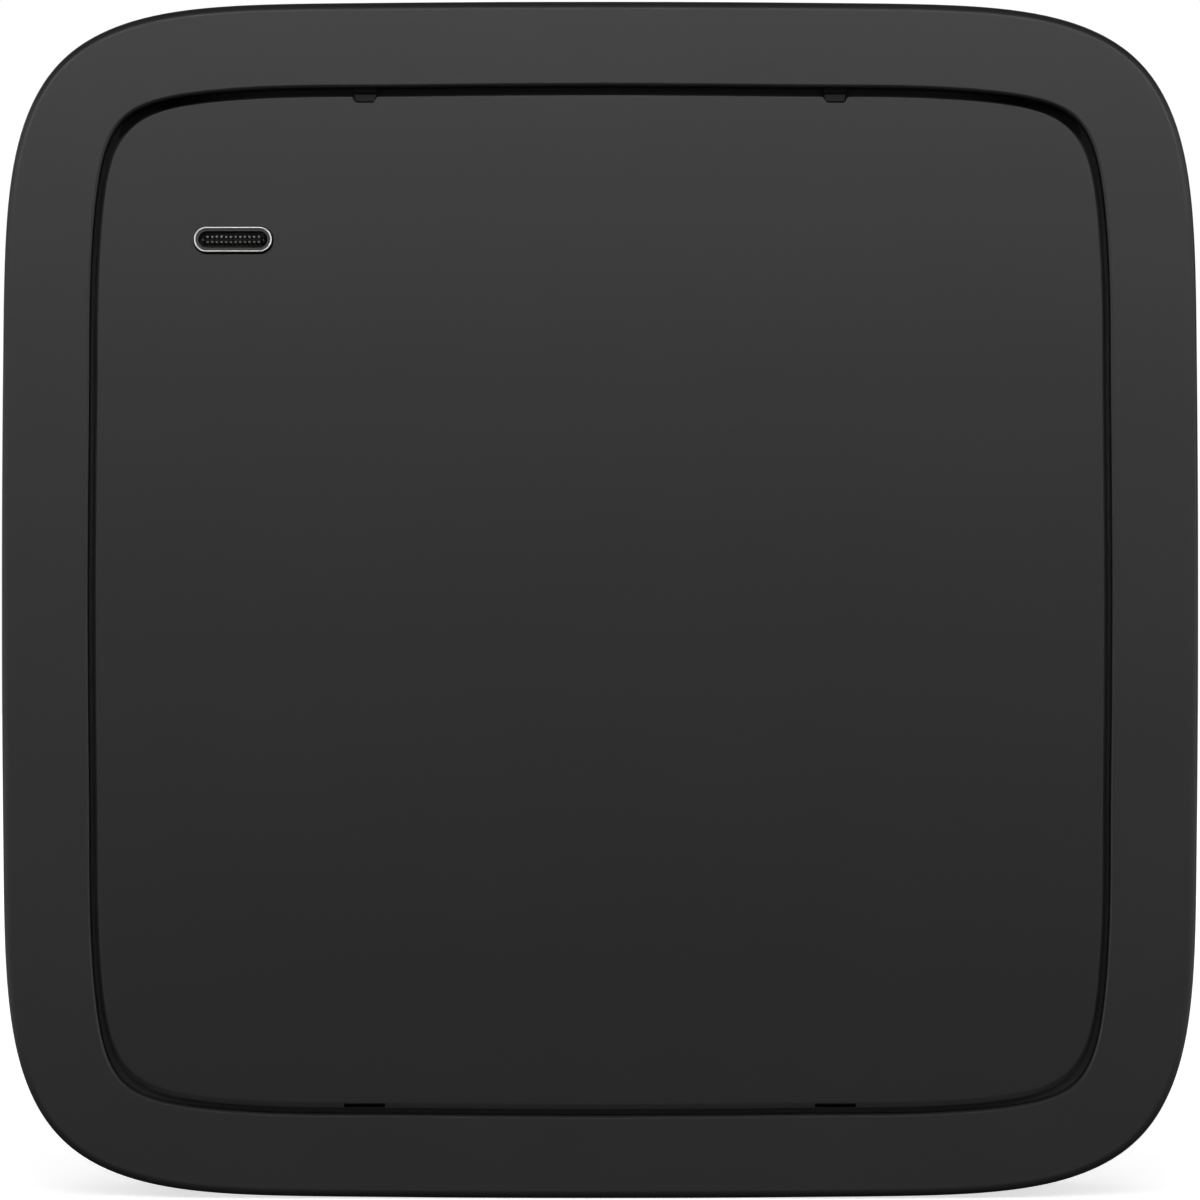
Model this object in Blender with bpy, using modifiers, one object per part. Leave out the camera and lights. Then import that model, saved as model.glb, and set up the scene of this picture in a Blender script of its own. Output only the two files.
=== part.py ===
"""Mesh wifi node: a soft-cornered square unit that stands on its lower edge.

Metres, +Z up. The rear face, with the power inlet, looks along -Y, and the front along +Y.
The origin is on the resting surface, midway across the width and the depth.
"""

import math

import bmesh
import bpy
from mathutils import Matrix, Vector

MM = 0.001

# ---------------------------------------------------------------- driving dimensions, mm
SIDE = 135.0            # width and height
DEPTH = 32.0
CORNER_POWER = 6.67     # exponent of the outer squircle
OPEN_HALF_X = 57.85     # recess for the rear panel
OPEN_HALF_Z = 58.10
PANEL_HALF_X = 57.25
PANEL_HALF_Z = 57.45
INNER_POWER = 9.45      # exponent of the recess and of the panel
RING = 72               # points round each squircle

REAR = -DEPTH / 2.0     # plane of the rim
FRONT = DEPTH / 2.0
HC = SIDE / 2.0         # height of the middle
GAP = 0.3               # between pieces that bear on each other

RIM_ROUND = 0.7
SPLIT = -9.0            # joint line between housing and front cover
WALL = 2.2              # front cover wall
LAP = 4.0               # housing wall with its lap tongue
TONGUE_END = -5.5
RIM_INNER = -13.6       # inside of the rim flange
FLOOR_REAR = -12.4      # recess floor
FLOOR_FRONT = -10.4
RECESS_WALL = 2.0

CROWN_START = 9.0       # where the front begins to round over
CROWN_POWER = 9.0

PANEL_REAR = -15.7
PANEL_THICK = 2.0
PANEL_FRONT = PANEL_REAR + PANEL_THICK
PANEL_EDGE = 0.45
HOOK_X = 26.55          # hooks and snap legs, each side of the middle
HOOK_W = 2.7
NOTCH_W = 2.95
NOTCH_DEPTH = 1.05
HOOK_REAR = -14.6
HOOK_REACH = 59.4       # tip of the hook above the middle
SLOT_W = 4.6
SLOT_DEPTH = 0.6
PANEL_AXIS_Y = -14.15   # line on which the hooks bear
PANEL_AXIS_Z = HC + OPEN_HALF_Z

USB_X = -41.4
USB_Z = HC + 40.65
USB_OPEN_W = 8.34
USB_OPEN_H = 2.56
USB_WALL = 0.22
USB_MOUTH = -15.85
USB_HOLE_GAP = 0.2

BOARD_REAR = -7.3
BOARD_THICK = 1.6
BOARD_FRONT = BOARD_REAR + BOARD_THICK
BOARD_HALF = 49.0

HOUSING_SCREWS = ((-49.5, -33.0), (49.5, -33.0), (49.5, 33.0), (-49.5, 33.0))
BOARD_SCREWS = ((-30.0, -43.5), (30.0, -43.5), (30.0, 43.5), (-30.0, 43.5))
BOSS_R = 3.5

BUTTON_Y = -3.6
BUTTON_Z = HC - 18.0
BUTTON_TRAVEL = 0.5

LIGHT_Z = HC - 46.0

# ---------------------------------------------------------------- a clean scene
for old in list(bpy.data.objects):
    bpy.data.objects.remove(old, do_unlink=True)

PARTS = bpy.data.collections.new("mesh_wifi_node")
TOOLS = bpy.data.collections.new("cutters")
for group in (PARTS, TOOLS):
    bpy.context.scene.collection.children.link(group)


def material(name, colour, rough, metal=0.0):
    mat = bpy.data.materials.new(name)
    mat.use_nodes = True
    shader = mat.node_tree.nodes["Principled BSDF"]
    shader.inputs["Base Color"].default_value = (*colour, 1.0)
    shader.inputs["Roughness"].default_value = rough
    shader.inputs["Metallic"].default_value = metal
    mat.diffuse_color = (*colour, 1.0)
    return mat


# ---------------------------------------------------------------- helpers
def put(ob, group):
    for other in list(ob.users_collection):
        other.objects.unlink(ob)
    group.objects.link(ob)
    return ob


def tool(ob):
    """A shape that only cuts or is joined into another piece."""
    put(ob, TOOLS)
    ob.hide_render = True
    ob.display_type = "WIRE"
    return ob


def piece(ob, name, mat, origin=None):
    """A finished piece: its name, its material and, for one that moves, its origin on the joint axis."""
    put(ob, PARTS)
    ob.name = name
    ob.data.name = name
    ob.data.materials.clear()
    ob.data.materials.append(mat)
    if origin is not None:
        where = Vector(origin) * MM
        shift = Matrix.Translation(where)
        ob.data.transform(shift.inverted() @ ob.matrix_world)
        ob.matrix_world = shift
    return ob


def smooth(ob, degrees=35.0):
    ob.data.shade_smooth()
    ob.data.set_sharp_from_angle(angle=math.radians(degrees))
    return ob


def cut(ob, other):
    mod = ob.modifiers.new("cut", "BOOLEAN")
    mod.operation = "DIFFERENCE"
    mod.object = tool(other)
    mod.solver = ob.get("solver", "EXACT")
    return ob


def fuse(ob, other):
    mod = ob.modifiers.new("join", "BOOLEAN")
    mod.operation = "UNION"
    mod.object = tool(other)
    mod.solver = ob.get("solver", "EXACT")
    return ob


def squircle(half_x, half_z, power, inset=0.0, count=RING):
    """Points of a superellipse, with a flat facet at the middle of each side, moved in along its normal."""
    points = []
    reach = abs(math.cos(math.pi / count)) ** (2.0 / power)
    for i in range(count):
        turn = 2.0 * math.pi * (i + 0.5) / count
        c, s = math.cos(turn), math.sin(turn)
        u = math.copysign(abs(c) ** (2.0 / power), c)
        v = math.copysign(abs(s) ** (2.0 / power), s)
        nx = math.copysign(abs(u) ** (power - 1.0), u) / half_x
        nz = math.copysign(abs(v) ** (power - 1.0), v) / half_z
        size = math.hypot(nx, nz)
        points.append((half_x * u / reach - inset * nx / size, half_z * v / reach - inset * nz / size))
    return points


def pill(width, height, count=16):
    """A slot with round ends, or a rounded bar if it is much wider than high."""
    radius = height / 2.0
    middle = width / 2.0 - radius
    points = []
    for side, start in ((1.0, -90.0), (-1.0, 90.0)):
        for i in range(count // 2 + 1):
            turn = math.radians(start + 180.0 * i / (count // 2))
            points.append((side * middle + radius * math.cos(turn), radius * math.sin(turn)))
    return points


def rounded(width, height, radius, count=3):
    points = []
    for sx, sz, start in ((1, 1, 0.0), (-1, 1, 90.0), (-1, -1, 180.0), (1, -1, 270.0)):
        for i in range(count + 1):
            turn = math.radians(start + 90.0 * i / count)
            points.append(
                (
                    sx * (width / 2.0 - radius) + radius * math.cos(turn),
                    sz * (height / 2.0 - radius) + radius * math.sin(turn),
                )
            )
    return points


def mesh_of(curve_ob):
    """The mesh of a curve, with its caps welded on."""
    graph = bpy.context.evaluated_depsgraph_get()
    data = bpy.data.meshes.new_from_object(curve_ob.evaluated_get(graph))
    shape = bmesh.new()
    shape.from_mesh(data)
    bmesh.ops.remove_doubles(shape, verts=shape.verts, dist=1e-7)
    bmesh.ops.recalc_face_normals(shape, faces=shape.faces)
    shape.to_mesh(data)
    shape.free()
    ob = bpy.data.objects.new(curve_ob.name, data)
    ob.matrix_world = curve_ob.matrix_world
    TOOLS.objects.link(ob)
    bpy.data.objects.remove(curve_ob, do_unlink=True)
    return ob


def plate(name, outlines, y0, y1, x=0.0, z=HC):
    """Flat outlines in the XZ plane, given thickness from y0 to y1. A second outline inside the first is a hole."""
    curve = bpy.data.curves.new(name, "CURVE")
    curve.dimensions = "2D"
    curve.fill_mode = "BOTH"
    curve.extrude = abs(y1 - y0) / 2.0 * MM
    for points in outlines:
        spline = curve.splines.new("POLY")
        spline.points.add(len(points) - 1)
        for co, (px, pz) in zip(spline.points, points):
            co.co = (px * MM, pz * MM, 0.0, 1.0)
        spline.use_cyclic_u = True
    ob = bpy.data.objects.new(name, curve)
    TOOLS.objects.link(ob)
    bpy.context.view_layer.update()
    ob = mesh_of(ob)
    turn = Matrix.Translation(Vector((x, (y0 + y1) / 2.0, z)) * MM) @ Matrix.Rotation(math.pi / 2.0, 4, "X")
    ob.data.transform(turn)
    return ob


def side_plate(name, points, x0, x1, y, z):
    """A flat outline in the YZ plane (its first coordinate along Z), given thickness from x0 to x1."""
    ob = plate(name, [points], -abs(x1 - x0) / 2.0, abs(x1 - x0) / 2.0, z=0.0)
    turn = Matrix(((0, 1, 0, 0), (0, 0, 1, 0), (1, 0, 0, 0), (0, 0, 0, 1)))
    ob.data.transform(Matrix.Translation(Vector(((x0 + x1) / 2.0, y, z)) * MM) @ turn)
    return ob


def block(name, size, centre):
    bpy.ops.mesh.primitive_cube_add(size=1.0)
    ob = bpy.context.active_object
    ob.name = name
    ob.data.transform(Matrix.Translation(Vector(centre) * MM) @ Matrix.Diagonal((*[s * MM for s in size], 1.0)))
    return put(ob, TOOLS)


def round_bar(name, radius, y0, y1, x, z, count=16):
    """A cylinder along Y."""
    bpy.ops.mesh.primitive_cylinder_add(vertices=count, radius=radius * MM, depth=abs(y1 - y0) * MM)
    ob = bpy.context.active_object
    ob.name = name
    turn = Matrix.Translation(Vector((x, (y0 + y1) / 2.0, z)) * MM) @ Matrix.Rotation(math.pi / 2.0, 4, "X")
    ob.data.transform(turn)
    return put(ob, TOOLS)


def bevel_edges(ob, width, segments, chosen):
    """Rounds the edges whose two ends both pass the test."""
    mesh = ob.data
    shape = bmesh.new()
    shape.from_mesh(mesh)
    bmesh.ops.dissolve_limit(shape, angle_limit=0.002, verts=shape.verts, edges=shape.edges)
    shape.edges.ensure_lookup_table()
    sharp = [
        len(e.link_faces) == 2 and e.calc_face_angle() > 0.5 and all(chosen(v.co / MM) for v in e.verts)
        for e in shape.edges
    ]
    shape.to_mesh(mesh)
    shape.free()
    weights = mesh.attributes.new("bevel_weight_edge", "FLOAT", "EDGE")
    for index, wanted in enumerate(sharp):
        weights.data[index].value = 1.0 if wanted else 0.0
    mod = ob.modifiers.new("round", "BEVEL")
    mod.limit_method = "WEIGHT"
    mod.width = width * MM
    mod.segments = segments
    return ob


def loft(name, outer, inner):
    """An open-backed shell through two stacks of rings, each ring (points, y), joined at their first rings."""
    shape = bmesh.new()

    def add(stack):
        return [[shape.verts.new((x * MM, y * MM, (z + HC) * MM)) for x, z in points] for points, y in stack]

    def bridge(a, b):
        for i in range(len(a)):
            j = (i + 1) % len(a)
            shape.faces.new((a[i], a[j], b[j], b[i]))

    out, inn = add(outer), add(inner)
    for stack in (out, inn):
        for a, b in zip(stack, stack[1:]):
            bridge(a, b)
        shape.faces.new(stack[-1])
    bridge(out[0], inn[0])
    bmesh.ops.recalc_face_normals(shape, faces=shape.faces)
    mesh = bpy.data.meshes.new(name)
    shape.to_mesh(mesh)
    shape.free()
    ob = bpy.data.objects.new(name, mesh)
    PARTS.objects.link(ob)
    return ob


def wire(name, points, radius, mat):
    """A lead along the points given."""
    curve = bpy.data.curves.new(name, "CURVE")
    curve.dimensions = "3D"
    curve.bevel_depth = radius * MM
    curve.bevel_resolution = 2
    curve.use_fill_caps = True
    spline = curve.splines.new("POLY")
    spline.points.add(len(points) - 1)
    for co, p in zip(spline.points, points):
        co.co = (p[0] * MM, p[1] * MM, p[2] * MM, 1.0)
    ob = bpy.data.objects.new(name, curve)
    TOOLS.objects.link(ob)
    bpy.context.view_layer.update()
    return smooth(piece(mesh_of(ob), name, mat))


def bend(p0, p1, p2, p3, count=12):
    """Points on one smooth curve from p0 to p3, leaving towards p1 and arriving from p2."""
    path = []
    for i in range(count + 1):
        t = i / count
        a, b, c, d = (1 - t) ** 3, 3 * t * (1 - t) ** 2, 3 * t * t * (1 - t), t**3
        path.append(tuple(a * w + b * x + c * y + d * z for w, x, y, z in zip(p0, p1, p2, p3)))
    return path


# ---------------------------------------------------------------- materials
charcoal_front = material("front_cover", (0.050, 0.050, 0.051), 0.5)
charcoal_rear = material("rear_housing", (0.050, 0.050, 0.051), 0.5)
charcoal_panel = material("rear_panel", (0.047, 0.047, 0.048), 0.5)
charcoal_button = material("button", (0.046, 0.046, 0.047), 0.5)
steel = material("connector_steel", (0.62, 0.62, 0.63), 0.3, 1.0)
tongue_black = material("connector_tongue", (0.012, 0.012, 0.013), 0.45)
board_green = material("board", (0.016, 0.075, 0.034), 0.5)
tin = material("shield_tin", (0.55, 0.55, 0.54), 0.4, 1.0)
pad_grey = material("thermal_pad", (0.35, 0.38, 0.42), 0.8)
sink_metal = material("heatsink", (0.68, 0.69, 0.70), 0.45, 1.0)
screw_steel = material("screw", (0.30, 0.30, 0.31), 0.35, 1.0)
antenna_board = material("antenna", (0.02, 0.02, 0.022), 0.5)
lead_black = material("lead", (0.018, 0.018, 0.019), 0.45)
plug_brass = material("plug", (0.75, 0.58, 0.30), 0.3, 1.0)
led_white = material("led", (0.85, 0.83, 0.72), 0.35)
pipe_clear = material("light_pipe", (0.80, 0.82, 0.84), 0.15)
switch_black = material("switch", (0.02, 0.02, 0.02), 0.45)
plunger_tan = material("plunger", (0.30, 0.24, 0.17), 0.5)


# ---------------------------------------------------------------- front cover
def crown(half, rise, turns, start, inset=0.0):
    """Rings that round over from the straight wall to the nearly flat front."""
    rings = []
    top = math.sin(math.radians(turns[-1]))
    for turn in turns:
        size = half * math.cos(math.radians(turn)) ** (2.0 / CROWN_POWER)
        rings.append((squircle(size, size, CORNER_POWER, inset), start + rise * math.sin(math.radians(turn)) / top))
    return rings


outer_turns = (0.0, 13.0, 26.0, 39.0, 52.0, 64.0, 74.0, 81.0, 85.5)
inner_turns = (0.0, 22.0, 44.0, 64.0, 80.0)
half = SIDE / 2.0
cover_back = SPLIT + GAP
cover = loft(
    "front_cover",
    [(squircle(half, half, CORNER_POWER), cover_back)] + crown(half, FRONT - CROWN_START, outer_turns, CROWN_START),
    [(squircle(half, half, CORNER_POWER, WALL), cover_back)]
    + crown(half, FRONT - WALL - CROWN_START, inner_turns, CROWN_START, WALL),
)
for n, (bx, bz) in enumerate(HOUSING_SCREWS):
    fuse(cover, round_bar(f"boss_{n}", BOSS_R, FLOOR_FRONT + GAP, 14.4, bx, HC + bz))
    cut(cover, round_bar(f"boss_hole_{n}", 1.5, FLOOR_FRONT - 1.0, 2.0, bx, HC + bz, 12))
cut(cover, round_bar("light_hole", 1.3, 8.0, 20.0, 0.0, LIGHT_Z))
cut(cover, side_plate("button_hole", pill(7.4, 3.8), half - 6.0, half + 4.0, BUTTON_Y, BUTTON_Z))
piece(cover, "front_cover", charcoal_front)
smooth(cover, 30.0)

# ---------------------------------------------------------------- rear housing
housing = plate("rear_housing", [squircle(half, half, CORNER_POWER)], REAR, SPLIT)
housing["solver"] = "MANIFOLD"  # a long chain of cuts in flat faces, which the exact solver leaves open
bevel_edges(housing, RIM_ROUND, 3, lambda p: p.y < REAR + 0.01)
cut(housing, plate("recess", [squircle(OPEN_HALF_X, OPEN_HALF_Z, INNER_POWER)], REAR - 1.0, FLOOR_REAR))
fuse(housing, plate("lap_tongue", [squircle(half, half, CORNER_POWER, WALL + GAP)], SPLIT - 1.0, TONGUE_END))
cut(housing, plate("inside", [squircle(half, half, CORNER_POWER, LAP)], FLOOR_FRONT, TONGUE_END + 1.0))
cut(
    housing,
    plate(
        "rim_channel",
        [
            squircle(half, half, CORNER_POWER, LAP + 0.8),
            squircle(OPEN_HALF_X + RECESS_WALL, OPEN_HALF_Z + RECESS_WALL, INNER_POWER),
        ],
        RIM_INNER,
        FLOOR_FRONT + 0.2,
    ),
)
for n, (bx, bz) in enumerate(BOARD_SCREWS):
    fuse(housing, round_bar(f"post_{n}", 3.0, FLOOR_FRONT - 0.5, BOARD_REAR - GAP, bx, HC + bz))
    cut(housing, round_bar(f"post_hole_{n}", 1.15, FLOOR_FRONT - 1.2, BOARD_REAR + 1.0, bx, HC + bz, 12))
for n, (bx, bz) in enumerate(HOUSING_SCREWS):
    cut(housing, round_bar(f"screw_hole_{n}", 1.6, REAR, FLOOR_FRONT + 1.0, bx, HC + bz, 12))
    cut(housing, round_bar(f"screw_seat_{n}", 2.9, REAR, FLOOR_REAR + 1.0, bx, HC + bz))
for n, (sx, sz) in enumerate(((-1, -1), (1, -1), (1, 1), (-1, 1))):
    fuse(
        housing,
        block(f"rest_{n}", (6.0, 1.5, 3.0), (sx * 30.0, (PANEL_FRONT + GAP + FLOOR_REAR + 0.5) / 2.0, HC + sz * 50.0)),
    )
for sx in (-1, 1):
    side = "left" if sx < 0 else "right"
    cut(
        housing,
        block(f"hook_pocket_{side}", (HOOK_W + 0.8, 2.4, 3.6), (sx * HOOK_X, -13.8, PANEL_AXIS_Z + 0.3)),
    )
    cut(
        housing,
        block(f"leg_slot_{side}", (5.0, 4.0, 2.4), (sx * HOOK_X, (FLOOR_REAR + FLOOR_FRONT) / 2.0, HC - 55.0)),
    )
cut(
    housing,
    plate(
        "inlet_window",
        [pill(USB_OPEN_W + 2 * USB_WALL + 1.4, USB_OPEN_H + 2 * USB_WALL + 1.4)],
        FLOOR_REAR - 1.0,
        FLOOR_FRONT + 1.0,
        USB_X,
        USB_Z,
    ),
)
# clearance under the button's stem where it crosses the lap tongue
cut(housing, block("stem_notch", (8.0, 5.0, 10.4), (half - 3.2, BUTTON_Y, BUTTON_Z)))
piece(housing, "rear_housing", charcoal_rear)
smooth(housing, 30.0)

# ---------------------------------------------------------------- rear panel
panel = plate("rear_panel", [squircle(PANEL_HALF_X, PANEL_HALF_Z, INNER_POWER)], PANEL_REAR, PANEL_FRONT)
bevel_edges(panel, PANEL_EDGE, 2, lambda p: p.y < PANEL_REAR + 0.01)
cut(
    panel,
    plate(
        "inlet_hole",
        [pill(USB_OPEN_W + 2 * (USB_WALL + USB_HOLE_GAP), USB_OPEN_H + 2 * (USB_WALL + USB_HOLE_GAP), 24)],
        PANEL_REAR - 1.0,
        PANEL_FRONT + 1.0,
        USB_X,
        USB_Z,
    ),
)
for sx in (-1, 1):
    side = "left" if sx < 0 else "right"
    notch_low = PANEL_HALF_Z - NOTCH_DEPTH
    cut(
        panel,
        plate(
            f"hook_notch_{side}",
            [rounded(NOTCH_W, 4.0, 0.5)],
            PANEL_REAR - 1.0,
            HOOK_REAR,
            sx * HOOK_X,
            HC + notch_low + 2.0,
        ),
    )
    fuse(
        panel,
        block(
            f"hook_{side}",
            (HOOK_W, PANEL_FRONT - HOOK_REAR - 0.05, HOOK_REACH - 55.0),
            (sx * HOOK_X, (PANEL_FRONT + HOOK_REAR) / 2.0, HC + (HOOK_REACH + 55.0) / 2.0),
        ),
    )
    cut(
        panel,
        block(
            f"snap_slot_{side}",
            (SLOT_W, 6.0, 4.0),
            (sx * HOOK_X, (PANEL_REAR + PANEL_FRONT) / 2.0, HC - PANEL_HALF_Z + SLOT_DEPTH - 2.0),
        ),
    )
    fuse(
        panel,
        block(f"snap_leg_{side}", (4.0, 3.6, 1.4), (sx * HOOK_X, PANEL_FRONT - 0.6 + 1.8, HC - 55.0)),
    )
piece(panel, "rear_panel", charcoal_panel, (0.0, PANEL_AXIS_Y, PANEL_AXIS_Z))
smooth(panel, 30.0)

# ---------------------------------------------------------------- power inlet
shell_w, shell_h = USB_OPEN_W + 2 * USB_WALL, USB_OPEN_H + 2 * USB_WALL
shell = plate(
    "usb_shell",
    [pill(shell_w, shell_h, 24), pill(USB_OPEN_W, USB_OPEN_H, 24)],
    USB_MOUTH,
    BOARD_REAR - GAP,
    USB_X,
    USB_Z,
)
smooth(piece(shell, "usb_shell", steel), 30.0)
tongue = plate("usb_tongue", [pill(USB_OPEN_W - 0.4, USB_OPEN_H - 0.4, 16)], -9.8, BOARD_REAR - GAP, USB_X, USB_Z)
fuse(tongue, plate("tongue_blade", [rounded(6.69, 0.7, 0.2, 2)], -15.0, -9.2, USB_X, USB_Z))
smooth(piece(tongue, "usb_tongue", tongue_black), 30.0)

# ---------------------------------------------------------------- board
board = plate("main_board", [rounded(2 * BOARD_HALF, 2 * BOARD_HALF, 5.0)], BOARD_REAR, BOARD_FRONT)
for n, (bx, bz) in enumerate(HOUSING_SCREWS):
    cut(board, round_bar(f"board_notch_{n}", BOSS_R + 0.8, BOARD_REAR - 1.0, BOARD_FRONT + 1.0, bx, HC + bz))
for n, (bx, bz) in enumerate(BOARD_SCREWS):
    cut(board, round_bar(f"board_hole_{n}", 1.4, BOARD_REAR - 1.0, BOARD_FRONT + 1.0, bx, HC + bz, 12))
SINK_SCREWS = ((-36.5, 0.0), (36.5, 0.0))
for n, (bx, bz) in enumerate(SINK_SCREWS):
    cut(board, round_bar(f"sink_hole_{n}", 1.4, BOARD_REAR - 1.0, BOARD_FRONT + 1.0, bx, HC + bz, 12))
piece(board, "main_board", board_green)

CAN_TALL = 2.2
PAD_TALL = 1.0
can_rear = BOARD_FRONT + GAP
can_front = can_rear + CAN_TALL
pad_rear = can_front + GAP
pad_front = pad_rear + PAD_TALL
for name, width, height, z in (("radio", 40.0, 26.0, 16.0), ("cpu", 32.0, 26.0, -16.0)):
    can = block(f"shield_can_{name}", (width, CAN_TALL, height), (0.0, (can_rear + can_front) / 2.0, HC + z))
    bevel_edges(can, 0.4, 1, lambda p: p.y > can_front - 0.01)
    cut(can, block(f"can_inside_{name}", (width - 0.6, CAN_TALL, height - 0.6), (0.0, (can_rear + can_front) / 2.0 - 0.3, HC + z)))
    piece(can, f"shield_can_{name}", tin)
    pad = block(f"thermal_pad_{name}", (width - 8.0, PAD_TALL, height - 6.0), (0.0, (pad_rear + pad_front) / 2.0, HC + z))
    bevel_edges(pad, 0.2, 1, lambda p: p.y > pad_front - 0.01)
    piece(pad, f"thermal_pad_{name}", pad_grey)

sink_rear = pad_front + GAP
SINK_BASE = 1.8
sink = block("heatsink", (82.0, SINK_BASE, 66.0), (0.0, sink_rear + SINK_BASE / 2.0, HC))
for n in range(9):
    fuse(sink, block(f"fin_{n}", (1.4, 8.4, 66.0), ((n - 4) * 7.4, sink_rear + 1.4 + 4.2, HC)))
for n, (bx, bz) in enumerate(SINK_SCREWS):
    cut(sink, round_bar(f"sink_clear_{n}", 1.6, sink_rear - 1.0, sink_rear + SINK_BASE + 1.0, bx, HC + bz, 12))
piece(sink, "heatsink", sink_metal)


# ---------------------------------------------------------------- screws
def screw(name, x, z, under_head, tip, head_r, shank_r, head_tall):
    """A pan-head screw turned about its own axis, driven along Y from its head to its tip."""
    way = 1.0 if tip > under_head else -1.0
    profile = [
        (0.0, head_tall),
        (head_r * 0.70, head_tall),
        (head_r, head_tall * 0.55),
        (head_r, 0.0),
        (shank_r, 0.0),
        (shank_r, -abs(tip - under_head) + 0.6),
        (shank_r * 0.45, -abs(tip - under_head)),
        (0.0, -abs(tip - under_head)),
    ]
    mesh = bpy.data.meshes.new(name)
    shape = bmesh.new()
    row = [shape.verts.new((r * MM, 0.0, h * MM)) for r, h in profile]
    for a, b in zip(row, row[1:]):
        shape.edges.new((a, b))
    shape.to_mesh(mesh)
    shape.free()
    ob = bpy.data.objects.new(name, mesh)
    PARTS.objects.link(ob)
    turn = ob.modifiers.new("turn", "SCREW")
    turn.steps = 14
    turn.render_steps = 14
    turn.use_merge_vertices = True
    turn.merge_threshold = 1e-6
    ob.matrix_world = Matrix.Translation(Vector((x, under_head, z)) * MM) @ Matrix.Rotation(
        way * math.pi / 2.0, 4, "X"
    )
    return piece(ob, name, screw_steel)


for n, (bx, bz) in enumerate(HOUSING_SCREWS):
    screw(f"housing_screw_{n + 1}", bx, HC + bz, FLOOR_REAR + 1.0 - GAP, 0.0, 2.5, 1.25, 1.5)
for n, (bx, bz) in enumerate(BOARD_SCREWS):
    screw(f"board_screw_{n + 1}", bx, HC + bz, BOARD_FRONT + GAP, FLOOR_FRONT - 0.9, 2.4, 0.95, 1.4)
for (bx, bz), side in zip(SINK_SCREWS, ("left", "right")):
    screw(f"heatsink_screw_{side}", bx, HC + bz, sink_rear + SINK_BASE + GAP, BOARD_REAR - 0.8, 2.4, 1.1, 1.4)

# ---------------------------------------------------------------- antennas, leads and plugs
inside = half - WALL
ANT_T = 0.6
ANT_LONG = 30.0
ANT_TALL = 9.0
ant_mid = inside - GAP - ANT_T / 2.0
antennas = {
    "left": ((-1.0, 0.0), 8.0),
    "right": ((1.0, 0.0), 8.0),
    "top_left": ((0.0, 1.0), -13.0),
    "top_right": ((0.0, 1.0), 13.0),
}
for name, ((ax, az), along) in antennas.items():
    long_side = ANT_LONG if az == 0.0 else 22.0
    if az == 0.0:
        size, centre = (ANT_T, ANT_TALL, long_side), (ax * ant_mid, 3.0, HC + along)
    else:
        size, centre = (long_side, ANT_TALL, ANT_T), (along, 3.0, HC + ant_mid)
    ant = block(f"antenna_{name}", size, centre)
    # matching slot that splits the radiator from its ground strip
    slot = (2.0, 1.0, long_side * 0.6) if az == 0.0 else (long_side * 0.6, 1.0, 2.0)
    shift = (0.0, 1.2, -long_side * 0.25) if az == 0.0 else (-long_side * 0.25, 1.2, 0.0)
    cut(ant, block(f"antenna_slot_{name}", slot, tuple(c + s for c, s in zip(centre, shift))))
    piece(ant, f"antenna_{name}", antenna_board)

    # plug on the board, then a loose lead out to the middle of the antenna
    px, pz = (ax * 44.0, along) if az == 0.0 else (along, 44.0)
    plug = round_bar(f"antenna_plug_{name}", 1.3, BOARD_FRONT + GAP, BOARD_FRONT + GAP + 1.4, px, HC + pz, 12)
    bevel_edges(plug, 0.25, 1, lambda p: p.y > BOARD_FRONT + GAP + 1.39)
    smooth(piece(plug, f"antenna_plug_{name}", plug_brass), 40.0)
    y_plug = BOARD_FRONT + GAP + 0.75
    start, end = 1.3 + GAP, ant_mid - ANT_T / 2.0 - GAP - 0.2
    reach = end - 44.0
    out = lambda d, y, slide=0.0: (px + ax * d + az * slide, y, HC + pz + az * d + abs(ax) * slide)
    path = bend(
        out(start, y_plug), out(start + 8.0, y_plug, 0.0), out(reach - 7.0, 0.5, -7.0), out(reach, 0.5, -6.0)
    )
    wire(f"antenna_lead_{name}", path, 0.55, lead_black)

# ---------------------------------------------------------------- light
led = block("status_led", (1.6, 0.7, 0.9), (0.0, BOARD_FRONT + GAP + 0.35, LIGHT_Z))
bevel_edges(led, 0.12, 1, lambda p: p.y > BOARD_FRONT + GAP + 0.69)
piece(led, "status_led", led_white)
pipe = round_bar("light_pipe", 1.1, BOARD_FRONT + GAP + 1.2, 15.75, 0.0, LIGHT_Z)
fuse(pipe, round_bar("pipe_flange", 2.0, 11.6, 12.8, 0.0, LIGHT_Z))
smooth(piece(pipe, "light_pipe", pipe_clear), 40.0)

# ---------------------------------------------------------------- side button and its switch
cap_face = half - 0.25
wall_in = half - WALL
button = side_plate("pairing_button", pill(7.0, 3.4, 24), wall_in - 1.5, cap_face, BUTTON_Y, BUTTON_Z)
bevel_edges(button, 0.3, 2, lambda p: p.x > cap_face - 0.01)
fuse(button, side_plate("button_flange", pill(9.2, 4.6), wall_in - 1.5, wall_in - 0.5, BUTTON_Y, BUTTON_Z))
fuse(button, block("button_stem", (11.0, 2.0, 3.0), (wall_in - 1.2 - 5.5, BUTTON_Y, BUTTON_Z)))
piece(button, "pairing_button", charcoal_button, (cap_face, BUTTON_Y, BUTTON_Z))
smooth(button, 30.0)
stem_end = wall_in - 1.2 - 11.0
body_face = 49.6
switch = block("switch_body", (4.6, 3.4, 6.0), (body_face - 2.3, BOARD_FRONT + GAP + 1.7, BUTTON_Z))
cut(switch, block("switch_bore", (6.0, 1.9, 2.5), (body_face, BUTTON_Y, BUTTON_Z)))
piece(switch, "switch_body", switch_black)
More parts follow.
